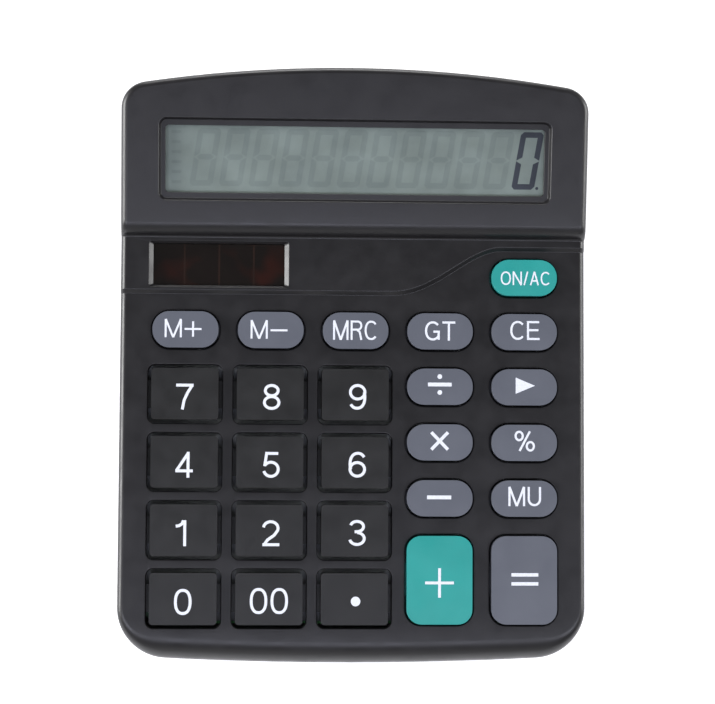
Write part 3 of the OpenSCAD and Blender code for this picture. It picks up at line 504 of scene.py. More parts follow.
SLOT_LOOKS = {
    "black_shell": plastic("shell_plastic", (19, 18, 20), (23, 22, 24), 0.36, 0.28, 0.012),
    "black_base": plastic("base_plastic", (23, 22, 25), (27, 26, 29), 0.52, 0.3, 0.02),
    "black_inner": plastic("inner_plastic", (22, 22, 24), (28, 28, 30), 0.5, 0.4, 0.01),
    "black_key": plastic("black_key_plastic", (18, 18, 18), (22, 22, 22), 0.38, 0.2, 0.008),
    "grey_key": plastic("grey_key_plastic", (80, 83, 92), (86, 89, 98), 0.36, 0.4, 0.003),
    "teal_key": plastic("teal_key_plastic", (30, 134, 129), (38, 143, 138), 0.36, 0.4, 0.003),
    "silicone": plastic("silicone_rubber", (122, 125, 128), (140, 143, 146), 0.6, 0.5, 0.01),
    "board_green": circuit_board("solder_mask"),
    "black_epoxy": plastic("epoxy_blob", (18, 18, 20), (28, 28, 30), 0.2, 1.2, 0.02),
    "capacitor_blue": plastic("capacitor_sleeve", (30, 44, 88), (40, 56, 104), 0.3, 0.8, 0.005),
    "clear_window": see_through("lens_acrylic", (0.98, 0.99, 0.98, 1.0), 0.5),
    "lcd_polarizer": display_back("polarizer_film", srgb(129, 138, 137), srgb(134, 143, 141)),
    "lcd_glass": plastic("display_glass", (120, 130, 126), (134, 144, 140), 0.1, 3.0, 0.001),
    "lcd_reflector": metal("reflector_foil", srgb(176, 182, 178), 0.35),
    "ribbon_amber": plastic("ribbon_film", (166, 108, 44), (186, 126, 58), 0.3, 0.5, 0.004),
    "tinted_window": see_through("tinted_acrylic", (0.62, 0.57, 0.55, 1.0), 1.0),
    "solar_film": solar_film("silicon_film"),
    "wire_sleeve": plastic("wire_sleeve", (150, 34, 34), (176, 48, 44), 0.4, 0.4, 0.005),
    "cell_sleeve": plastic("cell_wrap", (34, 96, 66), (48, 116, 82), 0.22, 1.5, 0.003),
    "plated_contact": metal("nickel_plate", srgb(205, 208, 212), 0.25),
    "screw_steel": metal("screw_steel", srgb(150, 153, 158), 0.35),
    "foot_rubber": plastic("foot_rubber", (26, 26, 28), (36, 36, 38), 0.75, 0.35, 0.03),
}
LEGEND_INK = printed_ink("legend_ink", srgb(214, 217, 226))


# ---- key layout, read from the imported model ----

KEY_RISE = 1.9
KEY_SKIRT_LOW = -SKIN - 1.0
# Size in plan, corner radius, gap to the hole, edge radius, crown of the top, height in plan of a tab.
DIGIT = {"width": 16.8, "height": 12.9, "radius": 0.9, "gap": 0.95, "edge": 0.35, "crown": 0.0, "tab": 7.0}
PILL = {"width": 16.5, "height": 9.1, "radius": 4.3, "gap": 0.4, "edge": 0.7, "crown": 0.18, "tab": 3.6}
TALL = {"width": 16.5, "height": 22.1, "radius": 3.7, "gap": 0.4, "edge": 0.7, "crown": 0.18, "tab": 8.0}


def key_centre(node, form):
    """(x, v) of a key, from its box: the rear edge of its skirt is the box's rear edge."""
    low, high = box_mm(node)
    rear_v = (high.y + HALF_LENGTH + KEY_SKIRT_LOW * sin(DECK_SLOPE)) / cos(DECK_SLOPE)
    return (low.x + high.x) / 2, rear_v - form["height"] / 2


def key_table():
    """Every key as node: (form, slot, legend text, legend height, width, stroke, shift x, shift v)."""
    table = {}
    column_shifts = ((0.0, -0.72), (0.35, -0.65), (0.55, -0.5))
    for number in (7, 8, 9, 4, 5, 6, 1, 2, 3, 0):
        width = 2.7 if number == 1 else 4.35
        x, v = column_shifts[max(number - 1, 0) % 3]
        x -= 0.7 if number == 1 else 0
        table[f"key_{number}"] = (DIGIT, "black_key", str(number), 6.45, width, 0.72, x, v)
    table["key_double_zero"] = (DIGIT, "black_key", "00", 6.45, 9.5, 0.7, 0.02, -0.46)
    table["key_point"] = (DIGIT, "black_key", ".", 2.4, 2.4, 0, 0.28, -0.55)
    for name, text, height, width, stroke, x, v in (
        ("memory_plus", "M+", 4.6, 9.25, 0.5, -0.6, 0.25),
        ("memory_minus", "M-", 4.65, 9.3, 0.5, -0.45, 0.1),
        ("memory_recall", "MRC", 4.9, 11.0, 0.5, -0.2, 0.1),
        ("grand_total", "GT", 4.85, 7.7, 0.55, -0.05, 0.1),
        ("clear_entry", "CE", 4.8, 7.5, 0.53, 0.1, 0.4),
        ("divide", ":", 5.2, 6.0, 0.95, -0.1, 0.55),
        ("backspace", ">", 4.1, 4.9, 0, 0.2, 0.4),
        ("multiply", "x", 4.9, 4.75, 0.82, -0.1, 0.38),
        ("percent", "%", 4.95, 5.25, 0.54, 0, 0.45),
        ("subtract", "-", 0.95, 6.1, 0.95, -0.2, 0.25),
        ("markup", "MU", 4.85, 8.3, 0.55, 0.05, 0.55),
    ):
        table["key_" + name] = (PILL, "grey_key", text, height, width, stroke, x, v)
    table["key_power"] = (PILL, "teal_key", "ON/AC", 3.45, 12.5, 0.38, 0.2, -0.15)
    table["key_add"] = (TALL, "teal_key", "+", 7.35, 7.25, 0.7, -0.05, -0.65)
    table["key_equals"] = (TALL, "grey_key", "=", 3.1, 6.8, 0.85, 0.08, 0.28)
    return table


KEYS = key_table()


# ---- top housing ----


def bow_and_corner(radius, corner):
    """Centre of a bow that passes through the end of the body, and its corners' place and turn."""
    corner_x = HALF_WIDTH - corner
    centre = HALF_LENGTH - radius
    corner_y = centre + sqrt((radius - corner) ** 2 - corner_x ** 2)
    return centre, corner_x, corner_y, asin(corner_x / (radius - corner))


def arc_points(x, y, radius, start, end, steps):
    """Points of the outline with their outward normals, (x, y, nx, ny)."""
    return [(x + radius * cos(a), y + radius * sin(a), cos(a), sin(a))
            for a in spaced(start, end, steps)]


def end_points(bow, corner, bow_steps, corner_steps):
    """The rear end of an outline with this bow and these corners, anticlockwise."""
    centre, x, y, turn = bow_and_corner(bow, corner)
    quarter = pi / 2
    right = arc_points(x, y, corner, 0, quarter - turn, corner_steps)
    middle = arc_points(0, centre, bow, quarter - turn, quarter + turn, bow_steps)[1:-1]
    return right + middle + arc_points(-x, y, corner, quarter + turn, 2 * quarter, corner_steps)


# Further points that divide the long straight sides.
EXTRA_SIDE_YS = [-40.0, -15.0, 48.0]


def body_outline():
    """The outline anticlockwise, and the index of each point on the straight sides by (side, y)."""
    shared = [LIP_Y + d for d, _ in LIP_PROFILE] + [INNER_STEP_Y, INNER_STEP_Y + INNER_STEP_WIDTH]
    shared += EXTRA_SIDE_YS
    sides = {}
    for side in (-1, 1):
        steps = [upper_step_y(side * HALF_WIDTH) + d for d, _ in UPPER_PROFILE]
        sides[side] = sorted(set(shared + steps), reverse=side < 0)
    outline = end_points(REAR_BOW_RADIUS, REAR_CORNER_RADIUS, bow_steps=32, corner_steps=14)
    outline += [(-HALF_WIDTH, y, -1, 0) for y in sides[-1]]
    front = end_points(FRONT_BOW_RADIUS, FRONT_CORNER_RADIUS, bow_steps=24, corner_steps=20)
    outline += [(-x, -y, -nx, -ny) for x, y, nx, ny in front]
    outline += [(HALF_WIDTH, y, 1, 0) for y in sides[1]]
    index = {}
    for i, (_, y, nx, _) in enumerate(outline):
        if abs(nx) == 1 and y in sides[int(nx)]:
            index[int(nx), y] = i
    return outline, index


def wall_point(p, inset, z):
    """A point on the drafted wall at outline point p, moved in by inset, at height z."""
    draft = SIDE_DRAFT + (REAR_DRAFT - SIDE_DRAFT) * max(0.0, p[3]) ** 2
    shift = inset + draft * (z - plane_z(PARTING_PLANE, p[1]))
    return p[0] - shift * p[2], p[1] - shift * p[3], z


def edge_radius(p):
    """Radius of the rounded top edge: small along the sides, large along the front."""
    deck = SIDE_EDGE_RADIUS + (FRONT_EDGE_RADIUS - SIDE_EDGE_RADIUS) * max(0.0, -p[3]) ** 2
    return deck + (HEAD_EDGE_RADIUS - deck) * profile_share(LIP_PROFILE, p[1] - LIP_Y)


def edge_point(p, turn):
    """A point on the rounded top edge; turn runs from 0 at the wall to a right angle on the top."""
    radius = edge_radius(p)
    inset, drop = radius * (1 - cos(turn)), radius * (1 - sin(turn))
    z = top_z(p[0], p[1]) - drop
    for _ in range(4):
        x, y, _ = wall_point(p, inset, z)
        z = top_z(x, y) - drop
    return wall_point(p, inset, min(z, TOP_Z))


def underside_point(p):
    """A point where the inner wall meets the inner side of the skin."""
    _, y, _ = wall_point(p, WALL, underside_z(p[1]))
    return wall_point(p, WALL, underside_z(y if abs(p[3]) > 0 else p[1]))


def pierce(shape, place, centre, stations):
    """An opening through the skin: rings of (width, height, radius, level), from the top down."""
    rings = []
    for width, height, radius, level in stations:
        outline = rounded(width, height, radius)
        rings.append(shape.ring([place(centre[0] + x, centre[1] + y, level) for x, y in outline]))
    shape.skins(rings)
    return rings[0], rings[-1]


def rim(width, height, radius, fillet, level=0.0):
    """Stations of an opening's rounded rim, from the flat face into the opening."""
    return [(width + 2 * inset, height + 2 * inset, radius + inset, level - drop)
            for inset, drop in quarter_round(fillet)]


def key_openings(shape):
    """A straight hole with a rounded rim for every key."""
    fillet = 0.3
    openings = []
    for node, (form, *_) in KEYS.items():
        gap = form["gap"]
        size = (form["width"] + 2 * gap, form["height"] + 2 * gap, form["radius"] + gap)
        openings.append(pierce(shape, on_deck, key_centre(node, form), rim(*size, fillet) + [(*size, -SKIN)]))
    return openings


def display_opening(shape):
    """The display's recess: a rounded rim, a steep wall, a level ledge and the hole that holds the lens."""
    width, height, radius, middle_t = 95.4, 16.8, 0.85, 17.4
    recess_width, recess_height, recess_radius = 98.4, 20.4, 1.9
    depth, lean, fillet, soft = 1.3, 0.4, 0.3, 0.1
    foot_width, foot_height = recess_width - 2 * lean, recess_height - 2 * lean
    foot_radius = recess_radius - lean
    stations = rim(recess_width, recess_height, recess_radius, fillet) + [
        (foot_width + soft, foot_height + soft, foot_radius, -depth + soft),
        (foot_width - soft, foot_height - soft, foot_radius - soft, -depth),
        (width + soft, height + soft, radius + soft / 2, -depth),
        (width, height, radius, -depth - soft / 2),
        (width, height, radius, -SKIN),
    ]
    return pierce(shape, on_head, (0, middle_t), stations)


def solar_opening(shape):
    """The solar window's frame, with wide bevels at its ends and a ledge below for the window."""
    x, v = -34.15, 99.8
    width, height, radius = 33.0, 10.6, 0.45
    side, end, rim_radius, fillet = 1.05, 0.5, 0.7, 0.15
    bevel_foot, soft = UPPER_RISE - 0.85, 0.1
    seat_level, seat_width, seat_height, seat_radius = UPPER_RISE - 2, width + 4, height + 3.4, 0.5
    stations = rim(width + 2 * side, height + 2 * end, rim_radius, fillet, UPPER_RISE) + [
        (width + soft, height + soft, radius + soft / 2, bevel_foot),
        (width, height, radius, bevel_foot - soft),
        (width, height, radius, seat_level),
        (seat_width, seat_height, seat_radius, seat_level),
        (seat_width, seat_height, seat_radius, -SKIN),
    ]
    return pierce(shape, on_deck, (x, v), stations)


def top_housing():
    """The upper shell, with its openings and its hollow inside."""
    shape = Shape()
    outline, index = body_outline()
    seam_bevel = 0.25

    def rest(p):
        """Height of the joint with the bottom housing."""
        return plane_z(PARTING_PLANE, p[1])

    rings = [
        shape.ring([wall_point(p, seam_bevel, rest(p)) for p in outline]),
        shape.ring([wall_point(p, 0, rest(p) + seam_bevel) for p in outline]),
    ]
    for turn in spaced(0, pi / 2, 7):
        rings.append(shape.ring([edge_point(p, turn) for p in outline]))
    shape.skins(rings)
    top = rings[-1]

    openings = key_openings(shape) + [display_opening(shape), solar_opening(shape)]

    # Lines across the lip of the head and along the swept step, so that both are finely shaped.
    lines = [[top[index[side, LIP_Y + distance]] for side in (-1, 1)] for distance, _ in LIP_PROFILE]
    before, beyond, sweep_steps = 4, 2, 44
    xs = spaced(SWEEP_START - before, SWEEP_END + beyond, sweep_steps)
    for distance, _ in UPPER_PROFILE:
        ends = [top[index[side, upper_step_y(side * HALF_WIDTH) + distance]] for side in (-1, 1)]
        ys = [upper_step_y(x) + distance * sweep_stretch(x) for x in xs]
        between = shape.ring([(x, y, top_z(x, y)) for x, y in zip(xs, ys)])
        lines.append([ends[0], *between, ends[1]])
    shape.fill(top, [opening[0] for opening in openings], lines)

    # Inner side of the shell, and the rim that stands on the bottom housing.
    inner_low = shape.ring([wall_point(p, WALL, rest(p)) for p in outline])
    inner_high = shape.ring([underside_point(p) for p in outline])
    shape.skin(rings[0], inner_low)
    shape.skin(inner_low, inner_high)
    across = [[inner_high[index[side, y]] for side in (-1, 1)]
              for y in (INNER_STEP_Y, INNER_STEP_Y + INNER_STEP_WIDTH)]
    shape.fill(inner_high, [opening[1] for opening in openings], across)
    return shape.make("top_shell", SLOT_LOOKS["black_shell"], "root", ["top_housing"], "black_shell")


# ---- keys ----


def crown_drop(form, x, v):
    """How far a crowned key top falls away from its middle."""
    across = 2 * x / form["width"]
    along = 2 * v / form["height"]
    return form["crown"] * min(1.0, (across ** 2 + along ** 2) / 2)


def key_cap(node, form, slot):
    """A hollow cap with a rounded edge, stems for its domes and tabs at its sides."""
    shape = Shape()
    cx, cv = key_centre(node, form)
    width, height, radius, edge = form["width"], form["height"], form["radius"], form["edge"]
    wall, inner_high, least_radius = 1.1, 0.4, 0.25

    def ring(shrink, level, crowned=False):
        outline = rounded(width - 2 * shrink, height - 2 * shrink, max(radius - shrink, least_radius))
        return shape.ring([
            on_deck(cx + x, cv + y, level - (crown_drop(form, x, y) if crowned else 0)) for x, y in outline
        ])

    rings = [ring(wall, inner_high), ring(wall, KEY_SKIRT_LOW), ring(0, KEY_SKIRT_LOW)]
    wall_top = KEY_RISE - edge - form["crown"]
    rings.append(ring(0, wall_top))
    for inset, drop in reversed(quarter_round(edge, 6)[:-1]):
        rings.append(ring(edge - inset, KEY_RISE - drop, True))
    reach = min(width, height) / 2
    for part in (0.3, 0.5, 0.7, 0.88):
        rings.append(ring(reach * part, KEY_RISE, True))
    shape.skins(rings)
    shape.cap(rings[0])
    shape.cap(rings[-1])

    # Stem to each rubber dome, and a tab at each side that stops the key under the deck.
    dome_offset, stem_radius, stem_low, overlap = 6, 2.3, -SKIN - 1.35, 0.2
    for offset in (-dome_offset, dome_offset) if form is TALL else (0,):
        stem = [(cx + x, cv + offset + y) for x, y in circle(stem_radius, steps=24)]
        shape.prism(stem, on_deck, stem_low, inner_high + overlap)
    catch, root, corner = 0.55, 0.6, 0.3
    tab_low, tab_high = KEY_SKIRT_LOW + 0.02, -SKIN - 0.15
    reach = form["gap"] + catch
    for side in (-1, 1):
        x = cx + side * (width + reach - root) / 2
        tab = [(x + a, cv + b) for a, b in rounded(reach + root, form["tab"], corner, steps=3)]
        shape.prism(tab, on_deck, tab_low, tab_high)
    return shape.make(node.replace("key_", "cap_"), SLOT_LOOKS[slot], node + "_body", [node], slot)


# ---- lettering ----
# Letters are strokes through points, with a height of 1 from foot to top.


def arc(x, y, rx, ry, start, end, square=1.0):
    """Points along an oval; square below 1 makes it fuller at the corners."""
    points = []
    for turn in spaced(radians(start), radians(end), max(5, round(abs(end - start) / 8))):
        c, s = cos(turn), sin(turn)
        points.append((
            x + rx * copysign(abs(c) ** square, c), y + ry * copysign(abs(s) ** square, s)
        ))
    return points


def glyphs(e):
    """(strokes, width) of every letter; e is half the stroke's thickness."""
    t = 1 - e
    w = 0.69
    m = w / 2
    stem = [(e, 0), (e, 1)]
    six = [arc(m, 0.32, m - e, 0.32 - e, 0, 360), arc(m + 0.02, 0.52, m - e + 0.02, 0.48 - e, 38, 205, 0.9)]
    return {
        "0": ([arc(m, 0.5, m - e, 0.5 - e, 0, 360, 0.86)], w),
        "1": ([[(0.4, 0), (0.4, 1)], [(0.02, 0.77), (0.16, 0.79), (0.28, 0.86), (0.34, 0.99)]], 0.4 + e),
        "2": ([arc(m, 0.69, m - e, 0.31 - e, 172, -20) + [(0.48, 0.42), (0.22, 0.24), (0.09, e)],
               [(0.02, e), (w, e)]], w),
        "3": ([arc(m, 0.745, m - e - 0.03, 0.255 - e, 165, -88) + [(0.25, 0.54)],
               arc(m, 0.28, m - e, 0.28 - e * 0.9, 88, -168)], w),
        "4": ([[(0.5, 0), (0.5, 1)], [(0, 0.265), (w, 0.265)], [(0.5, t), (0.04, 0.27)]], w),
        "5": ([[(0.13, t), (0.62, t)], [(0.17, 1), (0.085, 0.45)],
               arc(m - 0.01, 0.33, m - e, 0.33 - e, 142, -165)], w),
        "6": (six, w),
        "7": ([[(0, t), (w, t)], [(w - 0.05, t), (0.46, 0.66), (0.32, 0.36), (0.25, 0)]], w),
        "8": ([arc(m, 0.745, m - e - 0.035, 0.255 - e, 0, 360),
               arc(m, 0.28, m - e, 0.28 - e * 0.9, 0, 360)], w),
        "9": ([[(w - x, 1 - y) for x, y in stroke] for stroke in six], w),
        "M": ([stem, [(e, 1), (0.43, 0)], [(0.43, 0), (0.86 - e, 1)], [(0.86 - e, 1), (0.86 - e, 0)]], 0.86),
        "R": ([stem, [(e, t)] + arc(0.4, 0.74, 0.25 - e, 0.26 - e, 90, -90) + [(e, 0.48 + e)],
               [(0.38, 0.5), (0.5, 0.42), (0.56, 0.2), (0.6, 0)]], 0.66),
        "C": ([arc(0.37, 0.5, 0.37 - e, 0.5 - e, 42, 318, 0.92)], 0.68),
        "G": ([arc(0.39, 0.5, 0.39 - e, 0.5 - e, 42, 325, 0.92), [(0.42, 0.46), (0.74, 0.46)],
               [(0.74 - e, 0.46), (0.74 - e, 0.04)]], 0.74),
        "T": ([[(0, t), (0.64, t)], [(0.32, t), (0.32, 0)]], 0.64),
        "E": ([stem, [(e, t), (0.6, t)], [(e, 0.52), (0.56, 0.52)], [(e, e), (0.62, e)]], 0.62),
        "O": ([arc(0.38, 0.5, 0.38 - e, 0.5 - e, 0, 360, 0.92)], 0.76),
        "N": ([stem, [(e, 1), (w - e, 0)], [(w - e, 0), (w - e, 1)]], w),
        "A": ([[(e, 0), (0.34, 1)], [(0.34, 1), (0.68 - e, 0)], [(0.14, 0.32), (0.54, 0.32)]], 0.68),
        "U": ([[(e, 1)] + arc(m, 0.36, m - e, 0.36 - e, 180, 360) + [(w - e, 1)]], w),
        "/": ([[(0.04, 0), (0.3, 1)]], 0.34),
        "%": ([arc(x, y, 0.2 - e / 2, 0.24 - e / 2, 0, 360) for x, y in ((0.24, 0.76), (0.78, 0.24))]
              + [[(0.26, 0), (0.76, 1)]], 1.0),
        "+": ([[(0, 0.46), (0.84, 0.46)], [(0.42, 0.04), (0.42, 0.88)]], 0.84),
        "-": ([[(0, 0.46), (0.84, 0.46)]], 0.84),
    }


def stroke_quads(points, half):
    """Four-sided pieces that cover a stroke of this half thickness."""
    closed = dist(points[0], points[-1]) < 1e-6
    path = points[:-1] if closed else points
    count = len(path)
    sides = []
    for i, (x, y) in enumerate(path):
        before = path[i - 1] if i > 0 or closed else None
        after = path[(i + 1) % count] if i < count - 1 or closed else None
        ways = [Vector((x - before[0], y - before[1])).normalized()] if before else []
        ways += [Vector((after[0] - x, after[1] - y)).normalized()] if after else []
        along = sum(ways, Vector((0, 0))).normalized()
        reach = half / max(0.5, along.dot(ways[0]))
        sides.append(((x - along.y * reach, y + along.x * reach), (x + along.y * reach, y - along.x * reach)))
    pairs = list(around(sides)) if closed else list(zip(sides, sides[1:]))
    return [[left, right, next_right, next_left] for (left, right), (next_left, next_right) in pairs]


def area(polygon):
    """Area of a polygon, below zero if it runs clockwise."""
    return sum(ax * by - bx * ay for (ax, ay), (bx, by) in around(polygon)) / 2


def finer(polygon, step):
    """The polygon with its long sides cut into pieces no longer than a step."""
    points = []
    for (ax, ay), (bx, by) in around(polygon):
        pieces = ceil(dist((ax, ay), (bx, by)) / step)
        points += [(ax + (bx - ax) * i / pieces, ay + (by - ay) * i / pieces) for i in range(pieces)]
    return points


def plate(polygons, place, low, high, name, material, body, slot=None, step=1.0):
    """A thin plate that covers all the polygons as one and follows a curved surface closely."""
    points, faces = [], []
    for polygon in polygons:
        if area(polygon) < 0:
            polygon = polygon[::-1]
        polygon = finer(polygon, step)
        faces.append(list(range(len(points), len(points) + len(polygon))))
        points += [Vector(p) for p in polygon]
    found, _, triangles, _, _, covers = delaunay_2d_cdt(points, [], faces, 1, 1e-5, True)
    kept = [t for t, cover in zip(triangles, covers) if cover]
    used = sorted({i for t in kept for i in t})
    shape = Shape()
    layers = [dict(zip(used, shape.ring([place(*found[i], level) for i in used]))) for level in (low, high)]
    count = {}
    for t in kept:
        for layer in layers:
            shape.faces.append(tuple(layer[i] for i in t))
        for a, b in around(t):
            count[frozenset((a, b))] = count.get(frozenset((a, b)), 0) + 1
    for edge, faces_there in count.items():
        if faces_there == 1:
            a, b = edge
            shape.faces.append((layers[0][a], layers[0][b], layers[1][b], layers[1][a]))
    return shape.make(name, material, body, slot=slot)


def disc(x, y, radius):
    return [(x + a, y + b) for a, b in circle(radius, steps=28)]


def bar(x, y, width, height):
    corners = ((-1, -1), (1, -1), (1, 1), (-1, 1))
    return [(x + a * width / 2, y + b * height / 2) for a, b in corners]


def legend_polygons(text, height, width, stroke):
    """Polygons of a legend round its own middle, in millimetres."""
    x, y = width / 2 - stroke / 3, height / 2 - stroke / 3
    dot = 0.6
    signs = {
        ".": [disc(0, 0, height / 2)],
        "-": [bar(0, 0, width, height)],
        "=": [bar(0, side * (height - stroke) / 2, width, stroke) for side in (-1, 1)],
        "+": [bar(0, 0, width, stroke), bar(0, 0, stroke, height)],
        ":": [disc(0, side * (height / 2 - dot), dot) for side in (-1, 1)] + [bar(0, 0, width, stroke)],
        ">": [[(-width / 2, -height / 2), (width / 2, 0), (-width / 2, height / 2)]],
        "x": stroke_quads([(-x, -y), (x, y)], stroke / 2) + stroke_quads([(-x, y), (x, -y)], stroke / 2),
    }
    if text in signs:
        return signs[text]
    letters = glyphs(stroke / 2 / height)
    letter_gap = 0.13
    strokes, cursor = [], 0.0
    for letter in text:
        drawn, advance = letters[letter]
        strokes += [[(x + cursor, y) for x, y in points] for points in drawn]
        cursor += advance + letter_gap
    total = cursor - letter_gap
    squeeze = width / (total * height)
    polygons = []
    for points in strokes:
        sized = [((x - total / 2) * height * squeeze, (y - 0.5) * height) for x, y in points]
        polygons += stroke_quads(sized, stroke / 2)
    return polygons


def legend(node, form, text, height, width, stroke, shift_x, shift_v):
    """Printed legend on a key, following the crown of its top."""
    cx, cv = key_centre(node, form)
    sunk, proud = 0.05, 0.02

    def place(x, y, level):
        x, y = x + shift_x, y + shift_v
        return on_deck(cx + x, cv + y, KEY_RISE - crown_drop(form, x, y) + level)

    polygons = legend_polygons(text, height, width, stroke)
    return plate(polygons, place, -sunk, proud, node.replace("key_", "legend_"), LEGEND_INK, node + "_body")


def five_ring():
    """Faint moulded ring round the 5, where a finger finds the middle key."""
    form = KEYS["key_5"][0]
    cx, cv = key_centre("key_5", form)
    inner, outer, sunk, proud = 4.85, 5.1, 0.05, 0.02
    shape = Shape()
    rings = []
    for radius, level in ((inner, -sunk), (inner, proud), (outer, proud), (outer, -sunk)):
        outline = circle(radius, steps=64)
        rings.append(shape.ring([on_deck(cx + x, cv + y, KEY_RISE + level) for x, y in outline]))
    shape.skins([*rings, rings[0]])
    return shape.make("ring_5", SLOT_LOOKS["black_key"], "key_5_body", slot="black_key")


# ---- display ----

DIGIT_COUNT = 12
DIGIT_PITCH = 7.4
DIGIT_SIZE = (5.8, 14.5)
DIGIT_SLANT = tan(radians(9))
SEGMENT_WIDTH = 1.4
SEGMENT_GAP = 0.1
SEGMENT_CORNER = 0.75
LAST_DIGIT_X = 43.65
DIGIT_MIDDLE_T = 17.9


def segment_polygons(which):
    """Polygons of the named segments of one digit, upright, round its middle."""
    w, h = DIGIT_SIZE[0] / 2, DIGIT_SIZE[1] / 2
    s, g, c = SEGMENT_WIDTH, SEGMENT_GAP, SEGMENT_CORNER

    def flat(y, inward):
        """A top or bottom segment; inward is the way to the digit's middle."""
        return [(-w + c, y), (w - c, y), (w - s, y + inward * s), (-w + s, y + inward * s)]

    def upright(outward, up):
        """Half of a side, from the digit's middle to a cut-off outer corner."""
        x = outward * w
        return [
            (x, up * g), (x, up * (h - c)), (x - outward * c, up * h),
            (x - outward * s, up * (h - s)), (x - outward * s, up * s * 0.6),
        ]

    parts = {
        "a": flat(h, -1),
        "d": flat(-h, 1),
        "g": [(-w + g + s / 2, 0), (-w + g + s, s / 2), (w - g - s, s / 2), (w - g - s / 2, 0),
              (w - g - s, -s / 2), (-w + g + s, -s / 2)],
        "b": upright(1, 1),
        "c": upright(1, -1),
        "f": upright(-1, 1),
        "e": upright(-1, -1),
    }
    return [parts[name] for name in which]


def display_marks():
    """Lit and unlit segments on the front of the display."""
    low = -SKIN - 0.54
    lit_high, unlit_high = low + 0.02, low + 0.01
    lit, unlit = [], []
    for n in range(DIGIT_COUNT):
        x0 = LAST_DIGIT_X - n * DIGIT_PITCH
        target = lit if n == 0 else unlit
        for polygon in segment_polygons("abcdef" if n == 0 else "abcdefg"):
            target.append([(x0 + x + y * DIGIT_SLANT, DIGIT_MIDDLE_T + y) for x, y in polygon])
    foot = DIGIT_MIDDLE_T - DIGIT_SIZE[1] / 2
    point_x, point_rise, point_radius = 2.5, 0.35, 0.38
    lit.append(disc(LAST_DIGIT_X + point_x, foot + point_rise, point_radius))
    # Column of unlit signs at the left end.
    sign_x, sign_top, sign_pitch, sign_width, sign_height = -45.0, DIGIT_MIDDLE_T + 6.2, 2.5, 2.4, 0.7
    for row in range(6):
        unlit.append(bar(sign_x, sign_top - sign_pitch * row, sign_width, sign_height))
    dark = display_back("lit_segment", srgb(58, 61, 72), srgb(64, 67, 78))
    faint = display_back("unlit_segment", srgb(121, 130, 130), srgb(126, 135, 134))
    plate(lit, on_head, low, lit_high, "segments_lit", dark, "root", "lcd_polarizer", step=3)
    plate(unlit, on_head, low, unlit_high, "segments_unlit", faint, "root", "lcd_polarizer", step=3)


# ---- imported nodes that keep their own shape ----


def smooth_rounds():
    """Node group that shades rounds smooth and keeps edges sharper than an angle."""
    sharp_over = radians(32)
    tree = bpy.data.node_groups.new("smooth_rounds", "GeometryNodeTree")
    tree.interface.new_socket("Geometry", in_out="INPUT", socket_type="NodeSocketGeometry")
    tree.interface.new_socket("Geometry", in_out="OUTPUT", socket_type="NodeSocketGeometry")
    start, end = tree.nodes.new("NodeGroupInput"), tree.nodes.new("NodeGroupOutput")
    faces, edges = (tree.nodes.new("GeometryNodeSetShadeSmooth") for _ in range(2))
    faces.domain, edges.domain = "FACE", "EDGE"
    edges.inputs["Shade Smooth"].default_value = False
    angle = tree.nodes.new("GeometryNodeInputMeshEdgeAngle")
    sharp = tree.nodes.new("FunctionNodeCompare")
    sharp.operation = "GREATER_THAN"
    sharp.inputs[1].default_value = sharp_over
    tree.links.new(angle.outputs["Unsigned Angle"], sharp.inputs[0])
    tree.links.new(sharp.outputs["Result"], edges.inputs["Selection"])
    tree.links.new(start.outputs["Geometry"], faces.inputs["Geometry"])
    tree.links.new(faces.outputs["Geometry"], edges.inputs["Geometry"])
    tree.links.new(edges.outputs["Geometry"], end.inputs["Geometry"])
    return tree


def finish_cad_nodes():
    """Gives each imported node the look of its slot, with softened edges where they can be seen."""
    slots = {part["node"]: part["material_slot"] for part in frame["record"]["subparts"]}
    softened = {"bottom_housing": 0.25, "battery_door": 0.15, "rubber_feet": 0.35, "housing_screws": 0.08}
    rounds = smooth_rounds()
    for name, node in frame["nodes"].items():
        node.data.materials.clear()
        node.data.materials.append(SLOT_LOOKS[slots[name]])
        if node.data.attributes.get("custom_normal"):
            node.data.attributes.remove(node.data.attributes["custom_normal"])
        modify(node, "weld", "WELD", merge_threshold=1e-6)
        if name in softened:
            flat_within, sharp_over = radians(0.5), radians(35)
            modify(node, "flat", "DECIMATE", decimate_type="DISSOLVE", angle_limit=flat_within)
            modify(node, "edge", "BEVEL", width=softened[name] * MM, segments=2,
                   limit_method="ANGLE", angle_limit=sharp_over, use_clamp_overlap=True)
        modify(node, "rounds", "NODES", node_group=rounds)
        modify(node, "flats", "WEIGHTED_NORMAL", keep_sharp=True)


# ---- stage ----

# The camera as fitted to the photograph; its target and distance are in millimetres.
IMAGE_WIDTH, IMAGE_HEIGHT = 715, 704
FOCAL_PIXELS = 1975.0
SENSOR = 36.0
CAMERA_AZIMUTH, CAMERA_ELEVATION, CAMERA_ROLL = -18.97, 80.62, 19.19
CAMERA_TARGET = Vector((0.99, 3.63, 20.0))
CAMERA_DISTANCE = 500.0


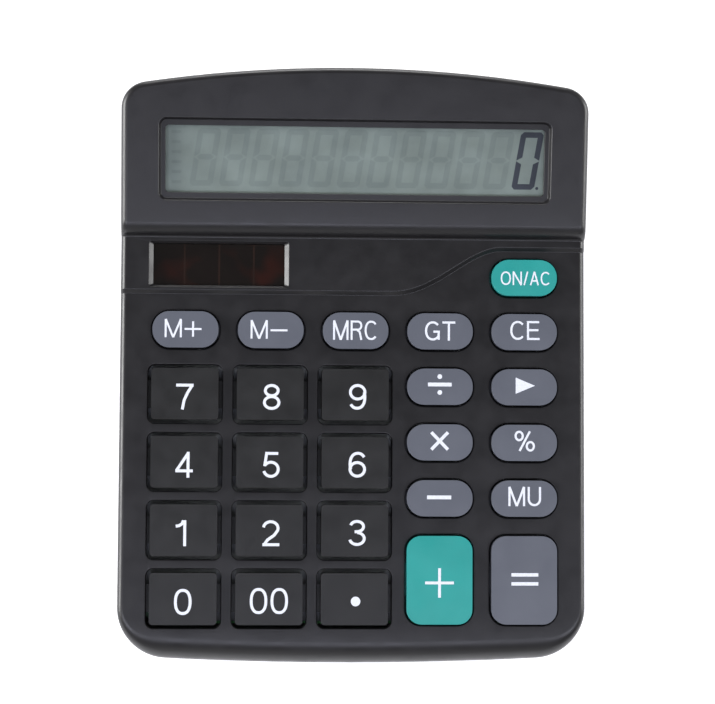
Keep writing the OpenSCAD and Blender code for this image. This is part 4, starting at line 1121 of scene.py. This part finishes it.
def camera():
    """Camera that looks down on the keys and is turned about its own axis."""
    azimuth, elevation, roll = (radians(a) for a in (CAMERA_AZIMUTH, CAMERA_ELEVATION, CAMERA_ROLL))
    back = Vector((
        sin(azimuth) * cos(elevation),
        -cos(azimuth) * cos(elevation),
        sin(elevation),
    ))
    level = Vector((cos(azimuth), sin(azimuth), 0))
    upright = back.cross(level)
    right = level * cos(roll) + upright * sin(roll)
    up = upright * cos(roll) - level * sin(roll)
    data = bpy.data.cameras.new("camera")
    data.sensor_width = SENSOR
    data.lens = FOCAL_PIXELS * SENSOR / max(IMAGE_WIDTH, IMAGE_HEIGHT)
    data.clip_start = 0.01
    view = added("camera", data)
    turn = Matrix((right, up, back)).transposed().to_4x4()
    view.matrix_world = Matrix.Translation((CAMERA_TARGET + back * CAMERA_DISTANCE) * MM) @ turn
    bpy.context.scene.camera = view


def area_light(name, place, size, power, colour=(1, 1, 1)):
    """A soft square lamp that faces the middle of the object."""
    data = bpy.data.lights.new(name, "AREA")
    data.size = size
    data.energy = power
    data.color = colour
    lamp = added(name, data)
    lamp.location = place
    lamp.rotation_euler = (Vector((0, 0, 0.02)) - Vector(place)).to_track_quat("-Z", "Y").to_euler()


def floor():
    """Pale sheet that glows a little and can be seen through from below."""
    finish = Finish("floor_paper", 0.9)
    finish.colour(finish.noise(60), (0.88, 0.88, 0.88, 1), (0.9, 0.9, 0.9, 1))
    finish.shader.inputs["Emission Color"].default_value = (1, 1, 1, 1)
    finish.shader.inputs["Emission Strength"].default_value = 0.45
    finish.bumps([(finish.noise(2), 0.01)])
    backfacing = finish.add("ShaderNodeNewGeometry").outputs["Backfacing"]
    clear = finish.add("ShaderNodeBsdfTransparent")
    finish.surface(backfacing, finish.shader.outputs["BSDF"], clear.outputs["BSDF"])
    mesh = bpy.data.meshes.new("floor")
    half, level = 3.0, -0.00002
    corners = [(-half, -half, level), (half, -half, level), (half, half, level), (-half, half, level)]
    mesh.from_pydata(corners, [], [(0, 1, 2, 3)])
    mesh.materials.append(finish.material)
    sheet = added("floor", mesh)


def light():
    """Dim white surroundings, three sheen lamps for the tilted head, and low lamps on all four sides."""
    world = bpy.data.worlds.new("studio")
    world.use_nodes = True
    world.node_tree.nodes["Background"].inputs["Color"].default_value = (1, 1, 1, 1)
    world.node_tree.nodes["Background"].inputs["Strength"].default_value = 0.22
    bpy.context.scene.world = world
    area_light("head_sheen", (0.0, -0.5, 0.95), 0.3, 1.5, (0.8, 0.82, 1.0))
    area_light("left_sheen", (-0.5, -0.5, 0.88), 0.35, 3.0, (0.85, 0.87, 1.0))
    area_light("right_sheen", (0.5, -0.5, 0.88), 0.35, 2.4, (0.85, 0.87, 1.0))
    area_light("front_low", (0.0, -1.1, 0.3), 0.5, 0.55)
    area_light("rear", (0.0, 1.1, 0.5), 0.5, 9.0)
    area_light("right", (1.1, 0.1, 0.42), 0.6, 10)
    area_light("left", (-1.1, 0.05, 0.42), 0.6, 19)
    bpy.context.scene.view_settings.view_transform = "Standard"


# ---- the calculator ----

camera()
floor()
light()
finish_cad_nodes()
top_housing()
for key, (key_form, key_slot, *key_legend) in KEYS.items():
    key_cap(key, key_form, key_slot)
    legend(key, key_form, *key_legend)
five_ring()
display_marks()
